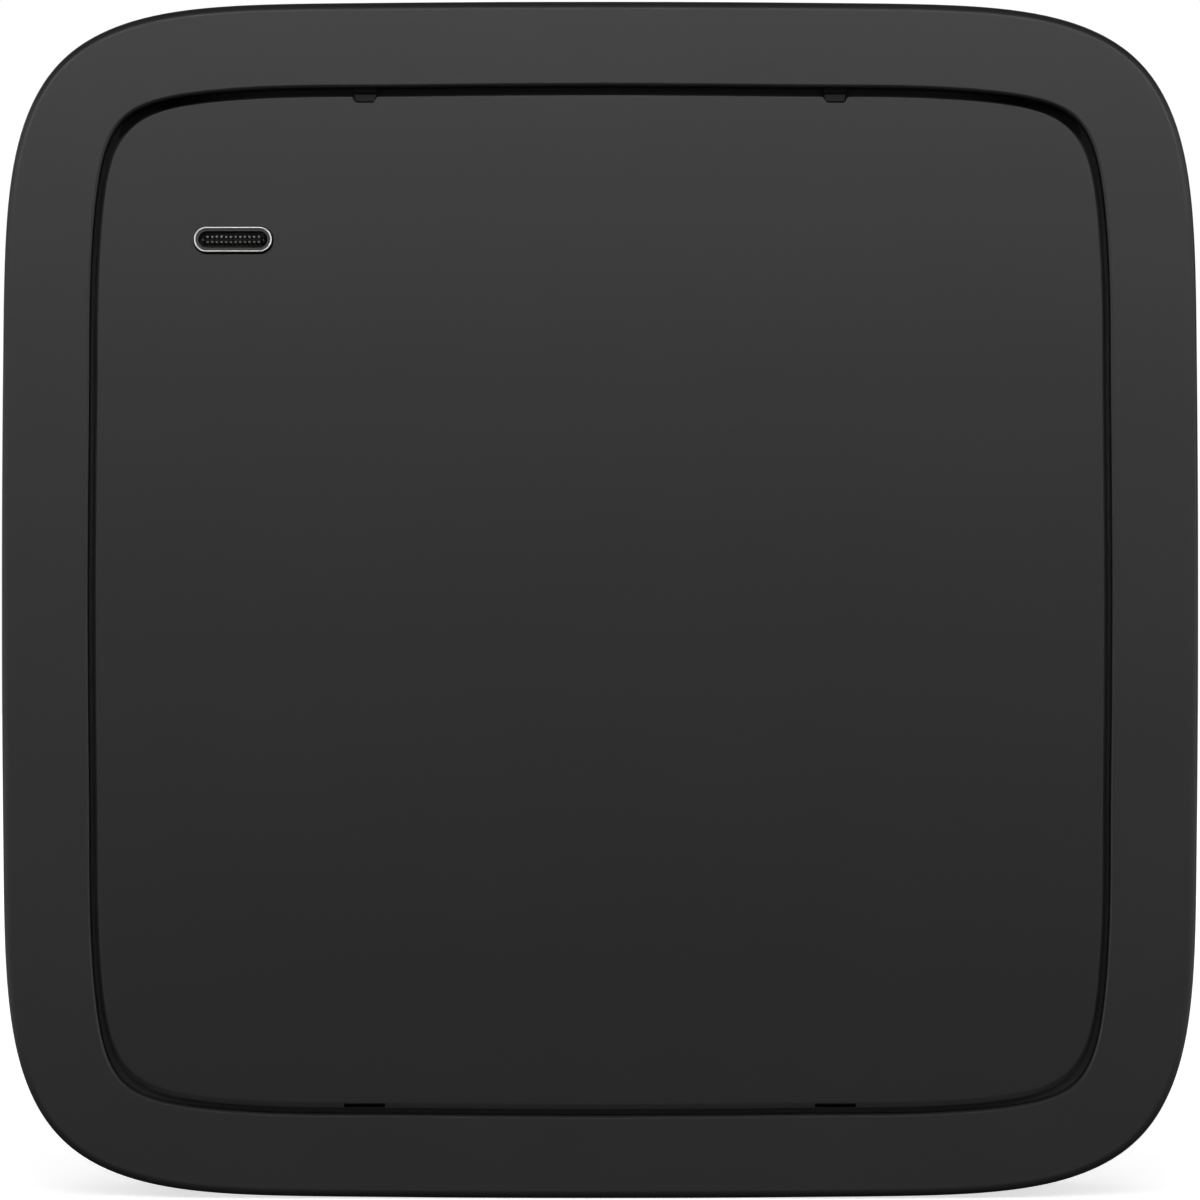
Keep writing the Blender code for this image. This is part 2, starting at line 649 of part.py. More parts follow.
plunger = block("switch_plunger", (stem_end - GAP - body_face + 1.6, 1.4, 2.0), ((stem_end - GAP + body_face - 1.6) / 2.0, BUTTON_Y, BUTTON_Z))
bevel_edges(plunger, 0.2, 1, lambda p: p.x > stem_end - GAP - 0.01)
piece(plunger, "switch_plunger", plunger_tan, (stem_end - GAP, BUTTON_Y, BUTTON_Z))

# the joint lines, for anyone who poses the model
for name, place in (("panel_axis", (0.0, PANEL_AXIS_Y, PANEL_AXIS_Z)), ("button_axis", (cap_face, BUTTON_Y, BUTTON_Z))):
    mark = bpy.data.objects.new(name, None)
    mark.location = Vector(place) * MM
    mark.empty_display_size = 0.01
    PARTS.objects.link(mark)
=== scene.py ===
"""Mesh wifi node: the visual model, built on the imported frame.

Metres, +Z up. The rear face, with the power inlet, looks along -Y, and the front along +Y.
Sizes below are in millimetres, and heights marked "rel" are measured from the middle of the unit.
"""

import math

import bmesh
import bpy
from mathutils import Matrix, Vector


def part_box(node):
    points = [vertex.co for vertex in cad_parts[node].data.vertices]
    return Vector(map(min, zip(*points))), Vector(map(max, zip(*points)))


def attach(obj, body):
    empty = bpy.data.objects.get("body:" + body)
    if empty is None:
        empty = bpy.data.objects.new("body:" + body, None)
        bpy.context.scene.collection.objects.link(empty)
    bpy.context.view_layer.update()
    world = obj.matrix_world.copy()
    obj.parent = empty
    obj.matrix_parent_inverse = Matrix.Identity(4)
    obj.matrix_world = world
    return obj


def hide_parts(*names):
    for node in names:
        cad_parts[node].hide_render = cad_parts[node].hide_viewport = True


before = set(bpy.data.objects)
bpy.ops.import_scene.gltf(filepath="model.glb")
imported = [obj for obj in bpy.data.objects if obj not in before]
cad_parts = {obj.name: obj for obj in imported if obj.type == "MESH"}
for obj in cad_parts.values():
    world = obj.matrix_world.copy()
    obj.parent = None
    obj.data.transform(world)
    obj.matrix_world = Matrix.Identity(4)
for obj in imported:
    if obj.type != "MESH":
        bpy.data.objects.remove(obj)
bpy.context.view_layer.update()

MM = 0.001
SIDE = 135.0
HALF = SIDE / 2.0
HC = SIDE / 2.0
# a soft square: the power of a superellipse, small waves on it that bow its sides, and a slight point to its corners
OUTER = (6.17, (1.00101, -0.00276, 0.00253, -0.00085, 0.00007), 0.0005)
INNER = (12.95, (0.99511, 0.00647, -0.00303, 0.00223, -0.00118, 0.00040), 0.0019)
PLATE = (INNER[0], INNER[1], 0.0)
RING = 320

REAR, FRONT = -16.0, 16.0
SPLIT = -9.0
COVER_BACK = -8.7
WALL = 2.2
LAP = 4.0
TONGUE_END = -5.5
FLOOR_REAR, FLOOR_FRONT = -12.4, -10.4
RIM_ROUND = 0.9
LIP_ROUND, LIP_FLAT, LIP_LEAN = 0.13, 0.20, 40.0
OPEN_X, OPEN_Z, OPEN_SHIFT = 57.77, 58.10, -0.08
LEDGE = -13.55  # step in the recess wall, under the panel's border at the sides and the bottom

PANEL_X, PANEL_Z = 57.25, 57.45
PANEL_REAR, PANEL_FRONT = -15.7, -13.7
HOOK_X, HOOK_W, HOOK_REACH = 26.55, 2.5, 59.4
NOTCH_TOP, NOTCH_FOOT, NOTCH_LOW = 2.94, 2.36, 56.06
SLOT_W, SLOT_LOW, SLOT_HIGH = 4.6, -57.22, -56.78

USB_X, USB_Z = -41.4, 40.65  # rel
USB_W, USB_H = 8.82, 2.86
USB_WALL = 0.21
USB_MOUTH = -15.85

BOARD_REAR, BOARD_FRONT = -7.3, -5.7
HOUSING_SCREWS = ((-49.5, -33.0), (49.5, -33.0), (49.5, 33.0), (-49.5, 33.0))
BOARD_SCREWS = ((-30.0, -43.5), (30.0, -43.5), (30.0, 43.5), (-30.0, 43.5))
SINK_SCREWS = ((-36.5, 0.0), (36.5, 0.0))
BUTTON_Y, BUTTON_Z = -3.6, -18.0  # rel
LIGHT_Z = -46.0  # rel


# ---------------------------------------------------------------- outlines
def outline(kind, half_x, half_z, inset=0.0):
    """Points of a soft square, moved in along its normal.

    The inset is a length, or a function of the height (-1 at the bottom, 1 at the top) that gives one.
    """
    power, waves, point = kind
    raw = []
    for i in range(RING):
        turn = 2.0 * math.pi * (i + 0.5) / RING
        turn += 0.15 * math.sin(4.0 * turn)  # closer together in the corners
        c, s = math.cos(turn), math.sin(turn)
        reach = sum(w * math.cos(4.0 * k * turn) for k, w in enumerate(waves)) + point * math.sin(2.0 * turn) ** 160
        reach /= (abs(c) ** power + abs(s) ** power) ** (1.0 / power)
        raw.append((half_x * reach * c, half_z * reach * s))
    points = []
    for i, (x, z) in enumerate(raw):
        (ax, az), (bx, bz) = raw[i - 1], raw[(i + 1) % RING]
        size = math.hypot(bx - ax, bz - az)
        move = inset(z / half_z) if callable(inset) else inset
        points.append((x - move * (bz - az) / size, z + move * (bx - ax) / size))
    return points


def ease(value, low, high):
    t = min(1.0, max(0.0, (value - low) / (high - low)))
    return t * t * (3.0 - 2.0 * t)


def by_side(height, top, side, bottom):
    """A size that changes along an outline: one for its top and upper corners, one for its sides, one for its bottom."""
    high, low = ease(height, 0.875, 0.94), ease(-height, 0.86, 0.985)
    return top * high + bottom * low + side * (1.0 - high - low)


def pill(width, height, count=24):
    """A slot with round ends, count points to each end."""
    radius = height / 2.0
    middle = width / 2.0 - radius
    points = []
    for side, start in ((1.0, -90.0), (-1.0, 90.0)):
        for i in range(count + 1):
            turn = math.radians(start + 180.0 * i / count)
            points.append((side * middle + radius * math.cos(turn), radius * math.sin(turn)))
    return points


def rounded(width, height, radius, count=6):
    points = []
    for sx, sz, start in ((1, 1, 0.0), (-1, 1, 90.0), (-1, -1, 180.0), (1, -1, 270.0)):
        for i in range(count + 1):
            turn = math.radians(start + 90.0 * i / count)
            points.append(
                (
                    sx * (width / 2.0 - radius) + radius * math.cos(turn),
                    sz * (height / 2.0 - radius) + radius * math.sin(turn),
                )
            )
    return points


def circle(radius, count=40):
    return [
        (radius * math.cos(2.0 * math.pi * i / count), radius * math.sin(2.0 * math.pi * i / count))
        for i in range(count)
    ]


# ---------------------------------------------------------------- building
def new_object(name, mesh):
    ob = bpy.data.objects.new(name, mesh)
    bpy.context.scene.collection.objects.link(ob)
    return ob


def lofted(name, rings, hoop=False):
    """A closed skin through a row of rings of points in millimetres, capped at both ends, or joined end to end as a hoop."""
    shape = bmesh.new()
    rows = [[shape.verts.new(Vector(p) * MM) for p in ring] for ring in rings]
    for a, b in zip(rows, rows[1:] + rows[:1] if hoop else rows[1:]):
        for i in range(len(a)):
            j = (i + 1) % len(a)
            shape.faces.new((a[i], a[j], b[j], b[i]))
    if not hoop:
        shape.faces.new(rows[0])
        shape.faces.new(rows[-1])
    bmesh.ops.recalc_face_normals(shape, faces=shape.faces)
    mesh = bpy.data.meshes.new(name)
    shape.to_mesh(mesh)
    shape.free()
    return new_object(name, mesh)


def along_y(stack, x=0.0, z=0.0):
    """Rings from flat outlines (points, y), the outline lying in XZ about (x, z rel)."""
    return [[(px + x, y, pz + z + HC) for px, pz in points] for points, y in stack]


def along_x(stack, y=0.0, z=0.0):
    """Rings from flat outlines (points, x), the outline's first coordinate along Z."""
    return [[(x, y + b, z + HC + a) for a, b in points] for points, x in stack]


def prism(name, points, y0, y1, x=0.0, z=0.0):
    return lofted(name, along_y([(points, y0), (points, y1)], x, z))


def block(name, size, centre, edge=0.0):
    """A box with its long edges along Y eased by a small chamfer."""
    sx, sy, sz = size
    points = rounded(sx, sz, edge, 2) if edge else [(sx / 2, sz / 2), (-sx / 2, sz / 2), (-sx / 2, -sz / 2), (sx / 2, -sz / 2)]
    return prism(name, points, centre[1] - sy / 2.0, centre[1] + sy / 2.0, centre[0], centre[2])


def shape_with(ob, steps):
    """Cuts and joins other shapes into ob, in order, and leaves one plain mesh."""
    for kind, other in steps:
        mod = ob.modifiers.new(kind, "BOOLEAN")
        mod.operation = "DIFFERENCE" if kind == "cut" else "UNION"
        mod.object = other
        mod.solver = "MANIFOLD"
    graph = bpy.context.evaluated_depsgraph_get()
    made = bpy.data.meshes.new_from_object(ob.evaluated_get(graph))
    ob.modifiers.clear()
    old, ob.data = ob.data, made
    made.name = ob.name
    bpy.data.meshes.remove(old)
    for _, other in steps:
        data = other.data
        bpy.data.objects.remove(other, do_unlink=True)
        if data.users == 0:
            bpy.data.meshes.remove(data)
    return ob


def smooth(ob, degrees=28.0):
    ob.data.shade_smooth()
    ob.data.set_sharp_from_angle(angle=math.radians(degrees))
    return ob


def quarter(radius, steps):
    """(in, down) of a quarter round, from the wall to the flat, both ends included."""
    return [
        (radius * (1.0 - math.cos(math.pi / 2.0 * k / steps)), radius * math.sin(math.pi / 2.0 * k / steps))
        for k in range(steps + 1)
    ]


# ---------------------------------------------------------------- materials
class Finish:
    """A node material with a few textures on object coordinates, so that it stays put on the piece."""

    def __init__(self, name):
        self.mat = bpy.data.materials.new(name)
        self.mat.use_nodes = True
        self.tree = self.mat.node_tree
        self.shader = self.tree.nodes["Principled BSDF"]
        self.place = self.tree.nodes.new("ShaderNodeTexCoord").outputs["Object"]

    def set(self, **values):
        for key, value in values.items():
            self.shader.inputs[key.replace("_", " ")].default_value = value
        return self

    def noise(self, size_mm, detail=2.0, rough=0.5, stretch=None):
        """Noise with features of about that size."""
        place = self.place
        if stretch:
            spread = self.tree.nodes.new("ShaderNodeMapping")
            spread.inputs["Scale"].default_value = stretch
            self.tree.links.new(place, spread.inputs["Vector"])
            place = spread.outputs["Vector"]
        node = self.tree.nodes.new("ShaderNodeTexNoise")
        node.inputs["Scale"].default_value = 1000.0 / size_mm
        node.inputs["Detail"].default_value = detail
        node.inputs["Roughness"].default_value = rough
        self.tree.links.new(place, node.inputs["Vector"])
        return node.outputs["Fac"]

    def cells(self, size_mm, feature="F1", randomness=1.0):
        node = self.tree.nodes.new("ShaderNodeTexVoronoi")
        node.feature = feature
        node.inputs["Scale"].default_value = 1000.0 / size_mm
        node.inputs["Randomness"].default_value = randomness
        self.tree.links.new(self.place, node.inputs["Vector"])
        return node.outputs["Distance"]

    def ramp(self, source, stops):
        node = self.tree.nodes.new("ShaderNodeValToRGB")
        band = node.color_ramp
        while len(band.elements) < len(stops):
            band.elements.new(0.5)
        for element, (where, colour) in zip(band.elements, stops):
            element.position = where
            element.color = (*colour, 1.0)
        self.tree.links.new(source, node.inputs["Fac"])
        return node.outputs["Color"]

    def span(self, source, low, high, from_low=0.3, from_high=0.7):
        node = self.tree.nodes.new("ShaderNodeMapRange")
        node.inputs["From Min"].default_value = from_low
        node.inputs["From Max"].default_value = from_high
        node.inputs["To Min"].default_value = low
        node.inputs["To Max"].default_value = high
        self.tree.links.new(source, node.inputs["Value"])
        return node.outputs["Result"]

    def times(self, a, b):
        node = self.tree.nodes.new("ShaderNodeMath")
        node.operation = "MULTIPLY"
        self.tree.links.new(a, node.inputs[0])
        self.tree.links.new(b, node.inputs[1])
        return node.outputs["Value"]

    def colour(self, source):
        self.tree.links.new(source, self.shader.inputs["Base Color"])
        return self

    def rough(self, source):
        self.tree.links.new(source, self.shader.inputs["Roughness"])
        return self

    def bump(self, layers):
        """Height layers, each (source, strength, depth in mm), one on another."""
        last = None
        for source, strength, depth in layers:
            node = self.tree.nodes.new("ShaderNodeBump")
            node.inputs["Strength"].default_value = strength
            node.inputs["Distance"].default_value = depth * MM
            self.tree.links.new(source, node.inputs["Height"])
            if last is not None:
                self.tree.links.new(last, node.inputs["Normal"])
            last = node.outputs["Normal"]
        self.tree.links.new(last, self.shader.inputs["Normal"])
        return self


def moulded(name, tone, rough, grain=0.16, spread=0.05, level=0.5):
    """Satin moulded plastic: a fine spark-eroded grain, faint flow clouds and slightly uneven gloss."""
    f = Finish(name)
    clouds = f.noise(19.0, 3.0, 0.55)
    fine = f.noise(grain, 2.0, 0.6)
    broad = f.noise(grain * 3.4, 2.0, 0.5)
    low = tuple(c * (1.0 - spread) for c in tone)
    high = tuple(c * (1.0 + spread) for c in tone)
    f.colour(f.ramp(clouds, [(0.3, low), (0.7, high)]))
    f.rough(f.span(broad, rough - 0.03, rough + 0.03))
    f.bump([(broad, 0.10, 0.010), (fine, 0.12, 0.006)])
    f.set(IOR=1.5, Specular_IOR_Level=level)
    return f.mat


def metal(name, low, high, rough_low, rough_high, grain=0.25, stretch=None, depth=0.004):
    """Metal with a drawn or rolled surface."""
    f = Finish(name)
    streaks = f.noise(grain, 3.0, 0.6, stretch)
    clouds = f.noise(4.0, 2.0, 0.5)
    f.colour(f.ramp(clouds, [(0.3, low), (0.7, high)]))
    f.rough(f.span(streaks, rough_low, rough_high))
    f.bump([(streaks, 0.2, depth)])
    f.set(Metallic=1.0)
    return f.mat


def housing_material():
    """As moulded(), but with painted shade down in the recess, the more so towards its upper corners: darker, rougher
    and less glossy there.
    """
    f = Finish("charcoal_rear_housing")
    clouds = f.noise(19.0, 3.0, 0.55)
    fine = f.noise(0.16, 2.0, 0.6)
    broad = f.noise(0.54, 2.0, 0.5)
    split = f.tree.nodes.new("ShaderNodeSeparateXYZ")
    f.tree.links.new(f.place, split.inputs["Vector"])
    across = f.tree.nodes.new("ShaderNodeMath")
    across.operation = "ABSOLUTE"
    f.tree.links.new(split.outputs["X"], across.inputs[0])
    # mask of the painted shade: deep in the recess, towards the top, and out towards the sides
    deep = f.span(split.outputs["Y"], 0.0, 1.0, -13.75 * MM, -13.60 * MM)
    high = f.times(
        f.ramp(f.span(split.outputs["Z"], 0.0, 1.0, (HC + 12.0) * MM, (HC + 54.0) * MM), [(0.0, (0.0, 0.0, 0.0)), (0.65, (0.52, 0.52, 0.52)), (0.90, (0.68, 0.68, 0.68)), (1.0, (1.0, 1.0, 1.0))]),
        f.span(split.outputs["Z"], 1.0, 0.0, (HC + 58.3) * MM, (HC + 58.6) * MM),
    )
    wide = f.times(
        f.span(across.outputs["Value"], 0.0, 1.0, 38.0 * MM, 48.0 * MM),
        f.span(across.outputs["Value"], 1.0, 0.0, 58.3 * MM, 58.6 * MM),
    )
    out = f.times(deep, f.times(high, wide))
    unshaded = f.span(out, 1.0, 0.0, 0.0, 1.0)
    # where the mask is full the painted shade takes over: a darker colour, a higher roughness and, below, a lower
    # gloss
    f.colour(f.ramp(f.times(clouds, unshaded), [(0.0, (0.012, 0.012, 0.012)), (0.3, (0.0254, 0.0254, 0.0256)), (0.7, (0.0281, 0.0281, 0.0283))]))
    f.rough(f.ramp(f.times(broad, unshaded), [(0.0, (0.66, 0.66, 0.66)), (0.3, (0.35, 0.35, 0.35)), (0.7, (0.41, 0.41, 0.41))]))
    f.bump([(broad, 0.10, 0.010), (fine, 0.12, 0.006)])
    f.set(IOR=1.5)
    f.tree.links.new(f.span(out, 0.5, 0.14, 0.0, 1.0), f.shader.inputs["Specular IOR Level"])
    return f.mat


rim_plastic_and_painted_shade = housing_material()
panel_plastic = moulded("charcoal_rear_panel", (0.0175, 0.0175, 0.0177), 0.375, level=0.55)
cover_plastic = moulded("charcoal_front_cover", (0.0268, 0.0268, 0.0270), 0.38)
button_plastic = moulded("charcoal_button", (0.0264, 0.0264, 0.0266), 0.35)
shell_steel = metal("drawn_steel", (0.80, 0.795, 0.79), (0.88, 0.875, 0.87), 0.26, 0.36, 0.2, (1.0, 0.2, 1.0))
contact_gold = metal("contact_gold", (0.39, 0.355, 0.30), (0.46, 0.42, 0.36), 0.22, 0.34, 0.12)
plate_steel = metal("plate_steel", (0.24, 0.235, 0.23), (0.31, 0.305, 0.30), 0.30, 0.42, 0.2)
screw_steel = metal("screw_black_zinc", (0.075, 0.075, 0.079), (0.12, 0.12, 0.125), 0.30, 0.42, 0.3)


def insulator_material(name, low, high, level):
    f = Finish(name)
    glass = f.noise(0.35, 2.0, 0.6, (1.0, 0.25, 1.0))
    f.colour(f.ramp(glass, [(0.3, low), (0.7, high)]))
    f.rough(f.span(glass, 0.42, 0.54))
    f.bump([(glass, 0.2, 0.004)])
    f.set(Specular_IOR_Level=level)
    return f.mat


connector_black = insulator_material("connector_black", (0.0075, 0.0075, 0.0080), (0.0105, 0.0105, 0.0110), 0.10)
# painted shade: a dark plastic for the ring and lining over the shell's inner wall at its mouth, where the steel lies
# in shade
shade_bezel_plastic = insulator_material("shade_bezel_plastic", (0.050, 0.050, 0.051), (0.064, 0.064, 0.065), 0.5)
connector_sleeve = insulator_material("connector_sleeve", (0.24, 0.24, 0.24), (0.30, 0.30, 0.30), 0.5)
connector_grey = insulator_material("connector_grey", (0.68, 0.68, 0.67), (0.76, 0.76, 0.75), 0.5)


def clear_material():
    f = Finish("light_pipe_frosted")
    frost = f.noise(0.14, 2.0, 0.6)
    f.colour(f.ramp(f.noise(2.0), [(0.3, (0.72, 0.74, 0.77)), (0.7, (0.80, 0.82, 0.84))]))
    f.rough(f.span(frost, 0.24, 0.38))
    f.bump([(frost, 0.2, 0.004)])
    f.set(IOR=1.49, Transmission_Weight=0.35)
    return f.mat


pipe_clear = clear_material()


def board_material():
    """Green solder mask over copper tracks that show as a slightly lighter relief."""
    f = Finish("board_solder_mask")
    tracks = f.cells(2.6, "DISTANCE_TO_EDGE", 0.35)
    fine = f.noise(0.3)
    f.colour(f.ramp(tracks, [(0.03, (0.020, 0.105, 0.050)), (0.09, (0.012, 0.062, 0.028)), (0.6, (0.014, 0.070, 0.032))]))
    f.rough(f.span(fine, 0.34, 0.46))
    f.bump([(tracks, 0.25, 0.02), (fine, 0.1, 0.004)])
    return f.mat


def pad_material():
    f = Finish("thermal_pad_silicone")
    fill = f.noise(0.25, 3.0, 0.6)
    f.colour(f.ramp(fill, [(0.3, (0.30, 0.33, 0.38)), (0.7, (0.38, 0.41, 0.46))]))
    f.rough(f.span(fill, 0.72, 0.88))
    f.bump([(fill, 0.4, 0.02)])
    return f.mat


def antenna_material():
    f = Finish("antenna_laminate")
    weave = f.noise(0.6, 2.0, 0.5, (1.0, 3.0, 1.0))
    f.colour(f.ramp(weave, [(0.3, (0.016, 0.016, 0.018)), (0.7, (0.026, 0.026, 0.028))]))
    f.rough(f.span(weave, 0.42, 0.56))
    f.bump([(weave, 0.25, 0.01)])
    return f.mat


def jacket_material():
    f = Finish("lead_jacket")
    skin = f.noise(0.3, 2.0, 0.6)
    f.colour(f.ramp(skin, [(0.3, (0.014, 0.014, 0.015)), (0.7, (0.022, 0.022, 0.023))]))
    f.rough(f.span(skin, 0.38, 0.5))
    f.bump([(skin, 0.2, 0.006)])
    return f.mat


def led_material():
    f = Finish("led_package")
    glow = f.noise(0.3, 2.0, 0.5)
    f.colour(f.ramp(glow, [(0.3, (0.82, 0.80, 0.68)), (0.7, (0.90, 0.88, 0.78))]))
    f.rough(f.span(glow, 0.28, 0.42))
    f.bump([(glow, 0.1, 0.004)])
    return f.mat


def plunger_material():
    f = Finish("plunger_nylon")
    skin = f.noise(0.4, 2.0, 0.5)
    f.colour(f.ramp(skin, [(0.3, (0.27, 0.215, 0.15)), (0.7, (0.33, 0.265, 0.19))]))
    f.rough(f.span(skin, 0.42, 0.58))
    f.bump([(skin, 0.2, 0.008)])
    return f.mat


switch_black = moulded("switch_black", (0.018, 0.018, 0.0185), 0.45, 0.2)
tin_plate = metal("tin_plate", (0.52, 0.52, 0.51), (0.60, 0.60, 0.59), 0.34, 0.48, 0.5, (1.0, 1.0, 6.0))
sink_aluminium = metal("sink_aluminium", (0.64, 0.65, 0.66), (0.72, 0.73, 0.74), 0.38, 0.52, 0.4, (6.0, 1.0, 0.4))
plug_brass = metal("plug_gold_flash", (0.70, 0.54, 0.27), (0.80, 0.62, 0.33), 0.24, 0.38, 0.2)

carried = {
    "main_board": board_material(),
    "shield_can": tin_plate,
    "thermal_pad": pad_material(),
    "heatsink": sink_aluminium,
    "antenna_lead": jacket_material(),
    "antenna_plug": plug_brass,
    "antenna": antenna_material(),
    "status_led": led_material(),
    "switch_body": switch_black,
    "switch_plunger": plunger_material(),
}


def finish_piece(ob, mat, body, slot, *nodes):
    ob.data.materials.clear()
    ob.data.materials.append(mat)
    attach(ob, body)
    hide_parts(*nodes)
    return ob


# ---------------------------------------------------------------- rear housing
rings = [
    (outline(OUTER, HALF, HALF, LAP), FLOOR_FRONT),
    (outline(OUTER, HALF, HALF, LAP), TONGUE_END - 0.2),
    (outline(OUTER, HALF, HALF, LAP - 0.2), TONGUE_END),
    (outline(OUTER, HALF, HALF, WALL + 0.5), TONGUE_END),
    (outline(OUTER, HALF, HALF, WALL + 0.3), TONGUE_END - 0.2),
    (outline(OUTER, HALF, HALF, WALL + 0.3), SPLIT),
    (outline(OUTER, HALF, HALF, 0.22), SPLIT),
]
for in_, down in reversed(quarter(0.18, 3)):
    rings.append((outline(OUTER, HALF, HALF, in_), SPLIT - 0.18 + down))
rings.append((outline(OUTER, HALF, HALF), SPLIT - 0.24))
rings.append((outline(OUTER, HALF, HALF), REAR + RIM_ROUND + 0.06))
for in_, down in quarter(RIM_ROUND, 9):
    rings.append((outline(OUTER, HALF, HALF, in_), REAR + RIM_ROUND - down))
rings.append((outline(OUTER, HALF, HALF, RIM_ROUND + 0.06), REAR))


def opening(inset=0.0):
    """Outline of the recess, which lies a hair below the middle."""
    return [(px, pz + OPEN_SHIFT) for px, pz in outline(INNER, OPEN_X, OPEN_Z, inset)]


def lip():
    """Distance from the recess wall and depth along the rim's inner edge: a round with a small flat in its middle."""
    lean = math.radians(LIP_LEAN)
    across, down = LIP_FLAT * math.cos(lean), LIP_FLAT * math.sin(lean)
    spots = []
    for k in range(5):
        turn = lean * k / 4.0
        spots.append((across + LIP_ROUND * (1.0 - math.sin(turn)), LIP_ROUND * (1.0 - math.cos(turn))))
    for k in range(6):
        turn = lean + (math.pi / 2.0 - lean) * k / 5.0
        spots.append((LIP_ROUND * (1.0 - math.sin(turn)), down + LIP_ROUND * (1.0 - math.cos(turn))))
    return spots


edge = lip()
rings.append((opening(-edge[0][0] - 0.06), REAR))
for out_, down in edge:
    rings.append((opening(-out_), REAR + down))
rings.append((opening(), REAR + edge[-1][1] + 0.06))


def ledge(extra=0.0):
    """Inset of the recess wall below its ledge, which the hooked top side doesn't have."""
    return lambda height: by_side(height, 0.03, 1.33, 1.33) + extra


rings.append((opening(), LEDGE - 0.15))
rings.append((opening(0.015), LEDGE - 0.04))
rings.append((opening(ledge(-0.01)), LEDGE))
rings.append((opening(ledge()), LEDGE + 0.08))
rings.append((opening(ledge()), FLOOR_REAR - 0.36))
for in_, down in quarter(0.3, 4):
    rings.append((opening(ledge(in_)), FLOOR_REAR - 0.3 + down))
rings.append((opening(ledge(0.36)), FLOOR_REAR))
housing = lofted("housing_moulding", along_y(rings))

steps = []
# flow and stiffening ribs on the recess floor, clear of the panel's own
for n, x in enumerate((-15.0, 15.0)):
    steps.append(("join", block(f"rib_up_{n}", (0.9, 0.7, 100.0), (x, FLOOR_REAR - 0.15, 0.0), 0.3)))
for n, z in enumerate((-18.0, 18.0)):
    steps.append(("join", block(f"rib_across_{n}", (102.0, 0.7, 0.9), (0.0, FLOOR_REAR - 0.15, z), 0.3)))
for n, (sx, sz) in enumerate(((-1, -1), (1, -1), (1, 1), (-1, 1))):
    pad = [(rounded(5.7, 2.7, 0.5), -13.4), (rounded(6.0, 3.0, 0.6), -13.25), (rounded(6.0, 3.0, 0.6), -11.9)]
    steps.append(("join", lofted(f"rest_{n}", along_y(pad, sx * 30.0, sz * 50.0))))
for n, (bx, bz) in enumerate(BOARD_SCREWS):
    post = [(circle(3.0), FLOOR_FRONT - 0.5), (circle(3.0), -7.8), (circle(2.8), -7.6)]
    steps.append(("join", lofted(f"post_{n}", along_y(post, bx, bz))))
    steps.append(("cut", prism(f"post_hole_{n}", circle(1.15, 24), FLOOR_FRONT - 1.2, -6.0, bx, bz)))
for n, (bx, bz) in enumerate(HOUSING_SCREWS):
    collar = [(circle(4.1, 48), FLOOR_REAR - 0.35), (circle(4.3, 48), FLOOR_REAR - 0.2), (circle(4.3, 48), FLOOR_REAR + 0.4)]
    steps.append(("join", lofted(f"collar_{n}", along_y(collar, bx, bz))))
    seat = [(circle(3.3, 48), REAR), (circle(3.3, 48), FLOOR_REAR - 0.5), (circle(2.9, 48), FLOOR_REAR - 0.1), (circle(2.9, 48), FLOOR_REAR + 1.0)]
    steps.append(("cut", lofted(f"seat_{n}", along_y(seat, bx, bz))))
    steps.append(("cut", prism(f"hole_{n}", circle(1.6, 32), REAR, FLOOR_FRONT + 1.0, bx, bz)))
for n, sx in enumerate((-1, 1)):
    steps.append(("cut", block(f"hook_pocket_{n}", (3.5, 3.1, 3.6), (sx * HOOK_X, -13.45, OPEN_Z + 0.3))))
    steps.append(("cut", block(f"leg_slot_{n}", (5.0, 4.0, 2.4), (sx * HOOK_X, -11.4, -55.0), 0.4)))
    steps.append(("cut", block(f"snap_pocket_{n}", (5.0, 3.6, 1.4), (sx * HOOK_X, -13.1, -56.6), 0.2)))
# the floor is deeper along the hooked side, where the panel's edge turns in
channel = lofted("hook_channel", along_y([(opening(-0.06), -13.2), (opening(-0.06), -11.2)]))
shape_with(
    channel,
    [
        ("cut", lofted("channel_core", along_y([(opening(2.6), -15.0), (opening(2.6), -10.0)]))),
        ("cut", block("channel_end", (140.0, 8.0, 120.0), (0.0, -12.5, -8.07))),
    ],
)
steps.append(("cut", channel))
window = [(pill(10.9, 5.1), FLOOR_REAR - 1.0), (pill(10.9, 5.1), FLOOR_REAR - 0.01), (pill(10.2, 4.4), FLOOR_REAR + 0.35), (pill(10.2, 4.4), FLOOR_FRONT + 1.0)]
steps.append(("cut", lofted("inlet_window", along_y(window, USB_X, USB_Z))))
steps.append(("cut", block("stem_notch", (8.0, 5.0, 10.4), (HALF - 3.2, BUTTON_Y, BUTTON_Z))))
shape_with(housing, steps)
smooth(housing)
finish_piece(housing, rim_plastic_and_painted_shade, "housing", "rear_housing", "rear_housing")

# ---------------------------------------------------------------- rear panel
def panel_ring(share, fall, extra=0.0, y=None):
    """A ring of the panel's border.

    The share runs from the outer edge (0) to the flat (1), and the fall is how far down the bevel it lies.
    The hooked top edge stands back from the others, to leave room to tilt, and is hardly bevelled.
    """
    points = outline(
        PLATE,
        PANEL_X,
        PANEL_Z,
        lambda height: by_side(height, 0.42, 0.0, 0.0) + share * by_side(height, 0.15, 0.53, 0.66) + extra,
    )
    ring = []
    for (px, pz), (_, level) in zip(points, outline(PLATE, PANEL_X, PANEL_Z)):
        drop = by_side(level / PANEL_Z, 0.12, 0.40, 0.06) * fall
        ring.append((px, y if y is not None else PANEL_REAR + drop, pz + HC))
    return ring


rings = [panel_ring(0.0, 0.0, 0.2, PANEL_FRONT), panel_ring(0.0, 0.0, 0.0, PANEL_FRONT - 0.2), panel_ring(0.0, 1.30)]
